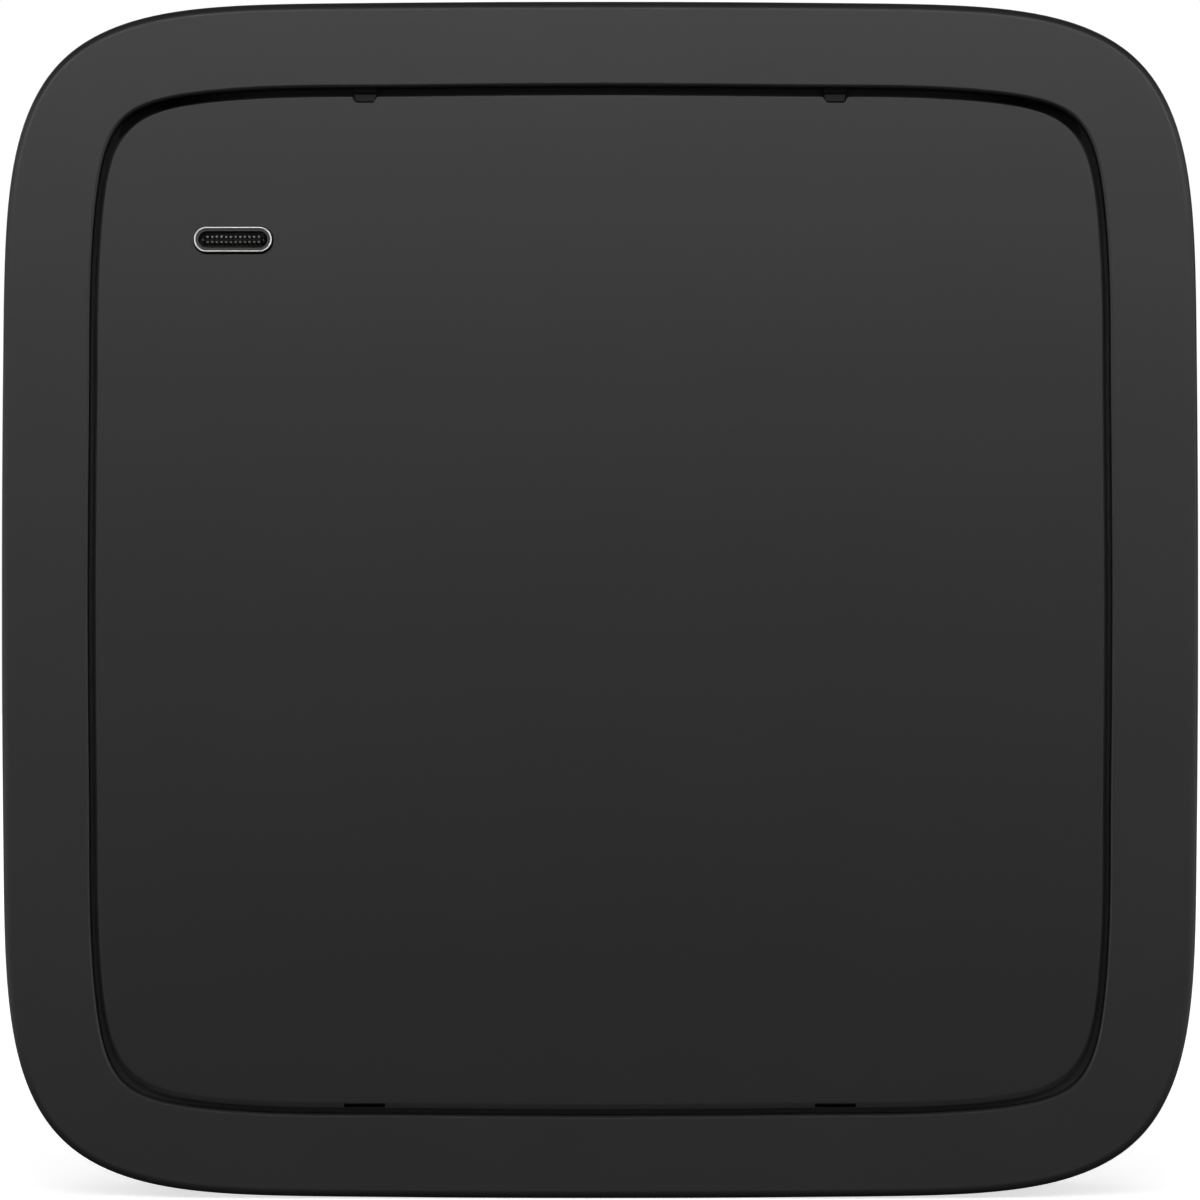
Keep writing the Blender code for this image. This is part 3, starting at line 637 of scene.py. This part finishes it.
# a soft bevel up to the flat: straight in its middle, rounded at both ends
for share, fall in ((0.0, 1.10), (0.02, 1.03), (0.06, 0.95), (0.16, 0.82), (0.32, 0.63), (0.50, 0.42), (0.64, 0.265), (0.76, 0.145), (0.86, 0.062), (0.94, 0.014), (1.0, 0.0)):
    rings.append(panel_ring(share, fall))
rings.append(panel_ring(1.0, 0.0, 0.06))
panel = lofted("panel_moulding", rings)

steps = []
hole = [
    (pill(USB_W + 0.38, USB_H + 0.38), PANEL_REAR - 1.0),
    (pill(USB_W + 0.38, USB_H + 0.38), PANEL_REAR - 0.02),
    (pill(USB_W + 0.24, USB_H + 0.24), PANEL_REAR + 0.05),
    (pill(USB_W + 0.24, USB_H + 0.24), PANEL_FRONT + 1.0),
]
steps.append(("cut", lofted("inlet_hole", along_y(hole, USB_X + 0.05, USB_Z - 0.09))))
for n, sx in enumerate((-1, 1)):
    # a notch through the panel's edge, with the hook's root showing in it
    outside = []
    for k in range(7):
        turn = math.radians(270.0 + 72.0 * k / 6.0)
        outside.append((NOTCH_FOOT / 2.0 - 0.36 + 0.40 * math.cos(turn), NOTCH_LOW + 0.40 + 0.40 * math.sin(turn)))
    outside += [(NOTCH_TOP / 2.0, 56.78), (NOTCH_TOP / 2.0 + 0.10, 56.90), (NOTCH_TOP / 2.0 + 0.16, 57.06), (NOTCH_TOP / 2.0 + 0.16, 57.60)]
    shape_2d = outside + [(-px, pz) for px, pz in reversed(outside)]
    steps.append(("cut", prism(f"hook_notch_{n}", shape_2d, PANEL_REAR - 1.0, PANEL_FRONT + 1.0, sx * HOOK_X)))
    side_view = [
        (-13.95, 54.6),
        (-13.95, 55.85),
        (-13.40, 55.98),
        (-13.60, 57.08),
        (-13.54, 57.2),
        (-13.15, 57.4),
        (-13.15, 58.9),
        (-13.05, HOOK_REACH),
        (-12.6, HOOK_REACH),
        (-12.5, 57.6),
        (-11.9, 57.0),
        (-11.9, 55.85),
        (-12.7, 55.2),
        (-12.9, 54.6),
    ]
    hook = []
    for px, ease_in in ((-HOOK_W / 2.0, 0.12), (-HOOK_W / 2.0 + 0.12, 0.0), (HOOK_W / 2.0 - 0.12, 0.0), (HOOK_W / 2.0, 0.12)):
        hook.append([(sx * HOOK_X + px, py + (ease_in if py < -13.2 else 0.0), pz + HC - (ease_in if pz > 59.0 else 0.0)) for py, pz in side_view])
    steps.append(("join", lofted(f"hook_{n}", hook)))
    steps.append(("cut", block(f"hook_slit_{n}", (2.02, 4.0, 0.34), (sx * HOOK_X, -14.15, NOTCH_LOW + 0.16), 0.08)))
    steps.append(("cut", block(f"snap_slot_{n}", (SLOT_W, 6.0, SLOT_HIGH - SLOT_LOW), (sx * HOOK_X, -14.7, (SLOT_LOW + SLOT_HIGH) / 2.0))))
    leg = [(rounded(4.0, 1.4, 0.2, 2), PANEL_FRONT - 0.6), (rounded(4.0, 1.4, 0.2, 2), -11.1), (rounded(3.6, 0.9, 0.2, 2), -10.7)]
    steps.append(("join", lofted(f"snap_leg_{n}", along_y(leg, sx * HOOK_X, -55.0))))
for n, x in enumerate((-38.0, 38.0)):
    steps.append(("join", block(f"panel_rib_up_{n}", (0.9, 0.7, 72.0), (x, PANEL_FRONT + 0.05, -6.0), 0.3)))
for n, z in enumerate((-28.0, 8.0)):
    steps.append(("join", block(f"panel_rib_across_{n}", (84.0, 0.7, 0.9), (0.0, PANEL_FRONT + 0.05, z), 0.3)))
shape_with(panel, steps)
smooth(panel)
finish_piece(panel, panel_plastic, "panel", "rear_panel", "rear_panel")


# ---------------------------------------------------------------- front cover
def crown(rise, inset, turns):
    """Rings that round over from the straight wall to the nearly flat front."""
    made = []
    for turn in turns:
        size = HALF * math.cos(math.radians(turn)) ** (2.0 / 9.0)
        made.append((outline(OUTER, size, size, inset), 9.0 + rise * math.sin(math.radians(turn))))
    return made


rings = list(reversed(crown(4.8, WALL, [80.0 * k / 12.0 for k in range(13)])))
rings += [
    (outline(OUTER, HALF, HALF, WALL), COVER_BACK + 0.2),
    (outline(OUTER, HALF, HALF, WALL - 0.2), COVER_BACK),
    (outline(OUTER, HALF, HALF, 0.22), COVER_BACK),
]
for in_, down in reversed(quarter(0.18, 3)):
    rings.append((outline(OUTER, HALF, HALF, in_), COVER_BACK + 0.18 - down))
rings.append((outline(OUTER, HALF, HALF), COVER_BACK + 0.24))
rings += crown(7.0, 0.0, [88.0 * k / 26.0 for k in range(27)])
for share in (0.40, 0.30, 0.20, 0.10, 0.04):
    rings.append((outline(OUTER, HALF * share, HALF * share), 9.0 + 7.0 * math.sqrt(1.0 - share**9)))
cover = lofted("cover_moulding", along_y(rings))
steps = []
for n, (bx, bz) in enumerate(HOUSING_SCREWS):
    boss = [(circle(3.3), -10.1), (circle(3.5), -9.9), (circle(3.5), 14.4)]
    steps.append(("join", lofted(f"boss_{n}", along_y(boss, bx, bz))))
    steps.append(("cut", prism(f"boss_hole_{n}", circle(1.5, 24), -11.4, 2.0, bx, bz)))
eye = [(circle(1.3, 48), 8.0), (circle(1.3, 48), 15.76), (circle(1.62, 48), 16.08), (circle(1.62, 48), 20.0)]
steps.append(("cut", lofted("light_hole", along_y(eye, 0.0, LIGHT_Z))))
mouth = [(pill(7.4, 3.8), HALF - 6.0), (pill(7.4, 3.8), HALF - 0.22), (pill(7.96, 4.36), HALF + 0.06), (pill(7.96, 4.36), HALF + 4.0)]
steps.append(("cut", lofted("button_hole", along_x(mouth, BUTTON_Y, BUTTON_Z))))
shape_with(cover, steps)
smooth(cover)
finish_piece(cover, cover_plastic, "housing", "front_cover", "front_cover")

# ---------------------------------------------------------------- power inlet
inner_w, inner_h = USB_W - 2 * USB_WALL, USB_H - 2 * USB_WALL
rings = [(pill(inner_w, inner_h), -9.75), (pill(inner_w, inner_h), USB_MOUTH + 0.16)]
for k in range(1, 5):
    turn = math.pi / 2.0 * k / 4.0
    grow = 0.07 * (1.0 - math.cos(turn))
    rings.append((pill(inner_w + 2 * grow, inner_h + 2 * grow), USB_MOUTH + 0.07 - 0.07 * math.sin(turn)))
for k in range(0, 5):
    turn = math.pi / 2.0 * k / 4.0
    grow = 0.07 * (1.0 - math.sin(turn))
    rings.append((pill(USB_W - 2 * grow, USB_H - 2 * grow), USB_MOUTH + 0.07 - 0.07 * math.cos(turn)))
rings.append((pill(USB_W, USB_H), USB_MOUTH + 0.16))
rings.append((pill(USB_W, USB_H), -7.6))
shell = lofted("inlet_shell", along_y(rings, USB_X, USB_Z))
smooth(shell, 40.0)
finish_piece(shell, shell_steel, "housing", "connector_steel", "usb_shell")

# linings inside the shell: a dark flat ring just behind its mouth, with a lining over the steel wall there, painted
# shade standing in for the shade inside the mouth; and a grey sleeve lining the wall behind that
shade_bezel = [
    (pill(inner_w + 0.02, inner_h + 0.02), -14.9),
    (pill(inner_w + 0.02, inner_h + 0.02), USB_MOUTH + 0.20),
    (pill(inner_w - 0.03, inner_h - 0.03), USB_MOUTH + 0.17),
    (pill(inner_w - 0.54, inner_h - 0.54), USB_MOUTH + 0.18),
    (pill(inner_w - 0.60, inner_h - 0.60), USB_MOUTH + 0.24),
    (pill(inner_w - 0.60, inner_h - 0.60), -14.95),
]
sleeve = [
    (pill(inner_w + 0.01, inner_h + 0.01), -9.7),
    (pill(inner_w + 0.01, inner_h + 0.01), -14.9),
    (pill(inner_w - 0.30, inner_h - 0.30), -14.95),
    (pill(inner_w - 0.34, inner_h - 0.34), -14.9),
    (pill(inner_w - 0.34, inner_h - 0.34), -9.75),
]
for name, rings, mat in (("inlet_shade_bezel", shade_bezel, shade_bezel_plastic), ("inlet_sleeve", sleeve, connector_sleeve)):
    lining = lofted(name, along_y(rings, USB_X, USB_Z), hoop=True)
    smooth(lining, 40.0)
    lining.data.materials.append(mat)
    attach(lining, "housing")

# tongue with a bevelled nose, on its base at the back of the shell
NOSE = 0.22
blade = [
    (rounded(6.35, 0.7 - 2 * NOSE, 0.05, 3), -15.0),
    (rounded(6.69, 0.7, 0.14, 3), -15.0 + NOSE),
    (rounded(6.69, 0.7, 0.14, 3), -9.2),
]
tongue = lofted("inlet_tongue", along_y(blade, USB_X, USB_Z))
smooth(tongue)
finish_piece(tongue, connector_black, "housing", "connector_tongue", "usb_tongue")
base = [(pill(inner_w - 0.6, inner_h - 0.6, 16), -9.8), (pill(inner_w - 0.4, inner_h - 0.4, 16), -9.65), (pill(inner_w - 0.4, inner_h - 0.4, 16), -9.3)]
seat = lofted("inlet_base", along_y(base, USB_X, USB_Z))
smooth(seat)
seat.data.materials.append(connector_grey)
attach(seat, "housing")

# contact strips, twelve above and twelve below, each turned over the nose
shape = bmesh.new()
for side in (1.0, -1.0):
    for k in range(12):
        x = (k - 5.5) * 0.525
        w = 0.105 if side > 0 else 0.14
        top = 0.47 if side > 0 else 0.37
        # the upper row is seen a little higher on the nose; both rows' ends face slightly downwards
        low, lean = (0.22, -0.008) if side > 0 else (0.16, 0.022)
        path = [(-15.015, low), (-15.015 + lean, top - 0.03), (-14.95, top), (-10.2, top)]
        under = [(-14.86, low - 0.02), (-14.84, low + 0.03), (-14.76, 0.30), (-10.2, 0.31)]
        rows = []
        for (y0, z0), (y1, z1) in zip(path, under):
            rows.append(
                [
                    shape.verts.new(Vector((USB_X + px, y, USB_Z + HC + side * z)) * MM)
                    for px, y, z in ((x - w, y0, z0), (x + w, y0, z0), (x + w, y1, z1), (x - w, y1, z1))
                ]
            )
        for a, b in zip(rows, rows[1:]):
            for i in range(4):
                j = (i + 1) % 4
                shape.faces.new((a[i], a[j], b[j], b[i]))
        shape.faces.new(rows[0])
        shape.faces.new(rows[-1])
bmesh.ops.recalc_face_normals(shape, faces=shape.faces)
mesh = bpy.data.meshes.new("inlet_contacts")
shape.to_mesh(mesh)
shape.free()
contacts = new_object("inlet_contacts", mesh)
contacts.data.materials.append(contact_gold)
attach(contacts, "housing")

# the tongue's thick root above, in front of the base
root = [(rounded(6.7, 0.52, 0.10, 3), -12.5), (rounded(6.9, 0.66, 0.12, 3), -12.35), (rounded(6.9, 0.66, 0.12, 3), -9.25)]
step = lofted("inlet_root", along_y(root, USB_X, USB_Z + 0.64))
smooth(step)
step.data.materials.append(connector_sleeve)
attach(step, "housing")

# middle plate, whose two edges stand out of the tongue's sides
plate = [(rounded(6.9, 0.13, 0.05, 2), -14.72), (rounded(7.05, 0.16, 0.06, 2), -14.6), (rounded(7.05, 0.16, 0.06, 2), -9.8)]
middle = lofted("inlet_middle_plate", along_y(plate, USB_X, USB_Z))
smooth(middle)
middle.data.materials.append(plate_steel)
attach(middle, "housing")


# ---------------------------------------------------------------- screws
def screw_mesh(name, length, head_r, shank_r, head_tall):
    """A pan-head screw with a cross recess, its axis along Y, its seat at y = 0 and its tip at +length."""
    turns = 32
    profile = []
    for k in range(7):
        t = math.pi / 2.0 * k / 6.0
        profile.append((head_r * (0.62 + 0.38 * math.sin(t)), -head_tall + head_tall * 0.6 * (1.0 - math.cos(t))))
    profile += [(head_r, -0.12), (head_r - 0.1, 0.0), (shank_r, 0.0)]
    pitch, run = shank_r * 0.62, 0.35
    while run + pitch < length - 0.7:
        profile += [(shank_r * 0.80, run), (shank_r, run + pitch * 0.5)]
        run += pitch
    profile += [(shank_r * 0.80, length - 0.6), (shank_r * 0.35, length)]
    rings = [[(r * math.cos(2 * math.pi * i / turns), y, r * math.sin(2 * math.pi * i / turns)) for i in range(turns)] for r, y in profile]
    ob = lofted(name, rings)
    cuts = []
    for n, (wide, deep) in enumerate(((head_r * 1.05, head_r * 0.24), (head_r * 0.24, head_r * 1.05))):
        low, top = -head_tall + head_tall * 0.62, -head_tall - 0.5
        a = [(px, top, pz) for px, pz in rounded(wide * 1.25 if wide > deep else deep_in(wide), deep * 1.25 if deep > wide else deep_in(deep), 0.02, 2)]
        b = [(px, low, pz) for px, pz in rounded(wide * 0.55 if wide > deep else wide * 0.8, deep * 0.55 if deep > wide else deep * 0.8, 0.02, 2)]
        cuts.append(("cut", lofted(f"{name}_cross_{n}", [a, b])))
    shape_with(ob, cuts)
    smooth(ob, 35.0)
    return ob


def deep_in(width):
    return width * 1.1


def screws(prefix, node_names, spots, seat_y, tip_y, head_r, shank_r, head_tall):
    first = screw_mesh(prefix, abs(tip_y - seat_y), head_r, shank_r, head_tall)
    first.data.materials.append(screw_steel)
    way = 1.0 if tip_y > seat_y else -1.0
    for n, (node, (bx, bz)) in enumerate(zip(node_names, spots)):
        ob = first if n == 0 else new_object(f"{prefix}_{n + 1}", first.data)
        turn = Matrix.Rotation(math.radians(17.0 + 31.0 * n), 4, "Y")
        if way < 0:
            turn = Matrix.Rotation(math.pi, 4, "X") @ turn
        ob.matrix_world = Matrix.Translation(Vector((bx, seat_y, bz + HC)) * MM) @ turn
        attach(ob, "housing")
        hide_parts(node)


screws("housing_fixing", [f"housing_screw_{n}" for n in range(1, 5)], HOUSING_SCREWS, -11.7, 0.0, 2.5, 1.25, 1.5)
screws("board_fixing", [f"board_screw_{n}" for n in range(1, 5)], BOARD_SCREWS, -5.4, -11.3, 2.4, 0.95, 1.4)
screws("sink_fixing", ["heatsink_screw_left", "heatsink_screw_right"], SINK_SCREWS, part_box("heatsink_screw_left")[1].y / MM - 1.4, -8.1, 2.4, 1.1, 1.4)

# ---------------------------------------------------------------- side button
CAP = HALF - 0.25
INSIDE = HALF - WALL
rings = [(pill(7.0, 3.4), INSIDE - 1.45), (pill(7.0, 3.4), CAP - 0.36)]
for in_, down in quarter(0.32, 6):
    rings.append((pill(7.0 - 2 * in_, 3.4 - 2 * in_), CAP - 0.32 + down))
for in_, down in ((0.38, 0.0), (0.62, 0.035), (0.9, 0.075), (1.2, 0.105), (1.5, 0.12)):
    rings.append((pill(7.0 - 2 * in_, 3.4 - 2 * in_), CAP - down))
button = lofted("button_cap", along_x(rings, BUTTON_Y, BUTTON_Z))
flange = [(pill(9.2, 4.6), INSIDE - 1.5), (pill(9.2, 4.6), INSIDE - 0.6), (pill(9.0, 4.4), INSIDE - 0.5)]
stem = [(rounded(3.0, 2.0, 0.3, 3), INSIDE - 12.2), (rounded(3.0, 2.0, 0.3, 3), INSIDE - 1.2)]
shape_with(
    button,
    [
        ("join", lofted("button_flange", along_x(flange, BUTTON_Y, BUTTON_Z))),
        ("join", lofted("button_stem", along_x(stem, BUTTON_Y, BUTTON_Z))),
    ],
)
smooth(button)
finish_piece(button, button_plastic, "button", "button", "pairing_button")

# ---------------------------------------------------------------- light pipe
rings = [
    (circle(1.0, 48), -4.2),
    (circle(1.1, 48), -4.1),
    (circle(1.1, 48), 11.6),
    (circle(1.9, 48), 11.6),
    (circle(2.0, 48), 11.7),
    (circle(2.0, 48), 12.7),
    (circle(1.9, 48), 12.8),
    (circle(1.1, 48), 12.8),
    (circle(1.1, 48), 15.5),
]
for k in range(1, 7):
    turn = math.pi / 2.0 * k / 6.0
    rings.append((circle(max(0.05, 1.1 * math.cos(turn)), 48), 15.5 + 0.25 * math.sin(turn)))
pipe = lofted("light_pipe_lens", along_y(rings, 0.0, LIGHT_Z))
smooth(pipe, 40.0)
finish_piece(pipe, pipe_clear, "housing", "light_pipe", "light_pipe")

# ---------------------------------------------------------------- finishes of the carried pieces
for node_name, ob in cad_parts.items():
    if ob.hide_render:
        continue
    key = next((k for k in carried if node_name.startswith(k)), None)
    if key is None:
        raise RuntimeError(f"no finish for {node_name}")
    ob.data.materials.clear()
    ob.data.materials.append(carried[key])


# ---------------------------------------------------------------- floor, backdrop, light and camera
def disc(name, radius, height, count=96):
    shape = bmesh.new()
    rows = [[shape.verts.new((r * math.cos(2 * math.pi * i / count), r * math.sin(2 * math.pi * i / count), height)) for i in range(count)] for r in (radius, radius * 0.5, radius * 0.1)]
    for a, b in zip(rows, rows[1:]):
        for i in range(count):
            j = (i + 1) % count
            shape.faces.new((a[i], a[j], b[j], b[i]))
    shape.faces.new(rows[-1])
    mesh = bpy.data.meshes.new(name)
    shape.to_mesh(mesh)
    shape.free()
    return new_object(name, mesh)


def dome(name, radius, count=64):
    shape = bmesh.new()
    rows = []
    for k in range(17):
        tilt = math.radians(-20.0 + 110.0 * k / 17.0)
        rows.append([shape.verts.new((radius * math.cos(tilt) * math.cos(2 * math.pi * i / count), radius * math.cos(tilt) * math.sin(2 * math.pi * i / count), radius * math.sin(tilt))) for i in range(count)])
    for a, b in zip(rows, rows[1:]):
        for i in range(count):
            j = (i + 1) % count
            shape.faces.new((a[i], b[i], b[j], a[j]))
    shape.faces.new(rows[-1])
    mesh = bpy.data.meshes.new(name)
    shape.to_mesh(mesh)
    shape.free()
    return new_object(name, mesh)


def only_seen_directly(ob):
    """A backdrop that the camera sees, and that neither lights nor shades the unit."""
    ob.visible_diffuse = False
    ob.visible_glossy = False
    ob.visible_transmission = False
    ob.visible_shadow = False


floor = disc("floor", 3.2, -0.00004)
paper = Finish("floor_paper")
tooth = paper.noise(1.2, 2.0, 0.5)
paper.colour(paper.ramp(tooth, [(0.3, (0.800, 0.800, 0.800)), (0.7, (0.815, 0.815, 0.815))]))
paper.set(Roughness=0.9, Specular_IOR_Level=0.1, Emission_Color=(1.0, 1.0, 1.0, 1.0))
# the floor glows as painted light, and more strongly with the distance from the unit, so that it meets the backdrop
# without an edge
away = paper.tree.nodes.new("ShaderNodeVectorMath")
away.operation = "LENGTH"
paper.tree.links.new(paper.place, away.inputs[0])
paper.tree.links.new(paper.span(away.outputs["Value"], 0.70, 1.06, 0.30, 1.00), paper.shader.inputs["Emission Strength"])
floor.data.materials.append(paper.mat)
only_seen_directly(floor)

backdrop = dome("backdrop", 5.0)
cloth = Finish("backdrop_white")
cloth.set(Base_Color=(0.0, 0.0, 0.0, 1.0), Roughness=1.0, Specular_IOR_Level=0.0, Emission_Color=(1.0, 1.0, 1.0, 1.0), Emission_Strength=1.02)
backdrop.data.materials.append(cloth.mat)
only_seen_directly(backdrop)


def bounce_ring(name, inner, outer, gap, height, count=60):
    """Light thrown back by the floor beside and behind the unit, seen only in reflections."""
    shape = bmesh.new()
    rows = []
    for r in (inner, (inner + outer) / 2.0, outer):
        row = []
        for i in range(count + 1):
            turn = math.radians(gap + (360.0 - 2.0 * gap) * i / count)
            row.append(shape.verts.new((r * math.sin(turn), -r * math.cos(turn), height)))
        rows.append(row)
    for a, b in zip(rows, rows[1:]):
        for i in range(count):
            shape.faces.new((a[i], b[i], b[i + 1], a[i + 1]))
    mesh = bpy.data.meshes.new(name)
    shape.to_mesh(mesh)
    shape.free()
    ob = new_object(name, mesh)
    only_seen_directly(ob)
    ob.visible_camera = False
    ob.visible_glossy = True
    return ob


bounce = bounce_ring("floor_bounce", 0.14, 0.9, 32.0, -0.00002)
glow = Finish("floor_bounce_white")
glow.set(Base_Color=(0.0, 0.0, 0.0, 1.0), Roughness=1.0, Specular_IOR_Level=0.0, Emission_Color=(1.0, 1.0, 1.0, 1.0), Emission_Strength=0.55)
bounce.data.materials.append(glow.mat)

world = bpy.data.worlds.new("studio")
world.use_nodes = True
# dim surroundings, darker towards the ground
tree = world.node_tree
way = tree.nodes.new("ShaderNodeTexCoord")
split = tree.nodes.new("ShaderNodeSeparateXYZ")
shade = tree.nodes.new("ShaderNodeMapRange")
shade.inputs["From Min"].default_value = -0.6
shade.inputs["From Max"].default_value = 0.15
shade.inputs["To Min"].default_value = 0.10
shade.inputs["To Max"].default_value = 1.0
tree.links.new(way.outputs["Generated"], split.inputs["Vector"])
tree.links.new(split.outputs["Z"], shade.inputs["Value"])
tree.links.new(shade.outputs["Result"], tree.nodes["Background"].inputs["Color"])
tree.nodes["Background"].inputs["Strength"].default_value = 0.08
bpy.context.scene.world = world

AIM = Vector((0.0, 0.0, 0.0675))


def softbox(name, azimuth, elevation, distance, width, height, radiance, only=None):
    """A rectangular light that faces the unit. Azimuth 0 stands in front of the rear face, 90 on the +X side."""
    a, e = math.radians(azimuth), math.radians(elevation)
    back = Vector((math.sin(a) * math.cos(e), -math.cos(a) * math.cos(e), math.sin(e)))
    data = bpy.data.lights.new(name, "AREA")
    data.shape = "RECTANGLE"
    data.size, data.size_y = width, height
    data.energy = radiance * math.pi * width * height
    ob = bpy.data.objects.new(name, data)
    bpy.context.scene.collection.objects.link(ob)
    ob.matrix_world = Matrix.Translation(AIM + back * distance) @ back.to_track_quat("Z", "Y").to_matrix().to_4x4()
    ob.visible_camera = False
    if only is not None:
        group = bpy.data.collections.new(f"{name}_lights")
        group.objects.link(only)
        ob.light_linking.receiver_collection = group
    return ob


softbox("key_strip", 0.0, 20.0, 0.62, 1.5, 0.10, 5.12)
softbox("front_fill", 0.0, 4.0, 1.90, 2.2, 1.4, 0.115)
softbox("left_side", -80.0, 4.0, 1.20, 0.8, 1.0, 0.9)
softbox("right_side", 80.0, 4.0, 1.20, 0.8, 1.0, 0.9)
softbox("back_strip", 180.0, 24.0, 1.30, 2.2, 0.30, 1.6)
softbox("back_fill", 215.0, 12.0, 1.90, 1.8, 1.4, 0.25)
softbox("floor_wash", 0.0, 52.0, 2.4, 2.4, 2.4, 0.85, floor)

scene = bpy.context.scene
scene.view_settings.view_transform = "Standard"
scene.view_settings.look = "None"
scene.view_settings.exposure = 0.0
scene.view_settings.gamma = 1.0

# 1200 pixels of frame; the unit's outline is 1195 across at the plane where its rim begins to round
LENS = 200.0
OUTLINE_PX = 598.15
stand_off = 1200.0 / 36.0 * LENS * HALF / OUTLINE_PX
camera_data = bpy.data.cameras.new("camera")
camera_data.sensor_width = 36.0
camera_data.lens = LENS
camera_data.clip_start, camera_data.clip_end = 0.01, 20.0
camera = bpy.data.objects.new("camera", camera_data)
scene.collection.objects.link(camera)
camera.location = (0.0, (REAR + RIM_ROUND - stand_off) * MM, 0.06749)
camera.rotation_euler = (math.pi / 2.0, 0.0, 0.0)
scene.camera = camera
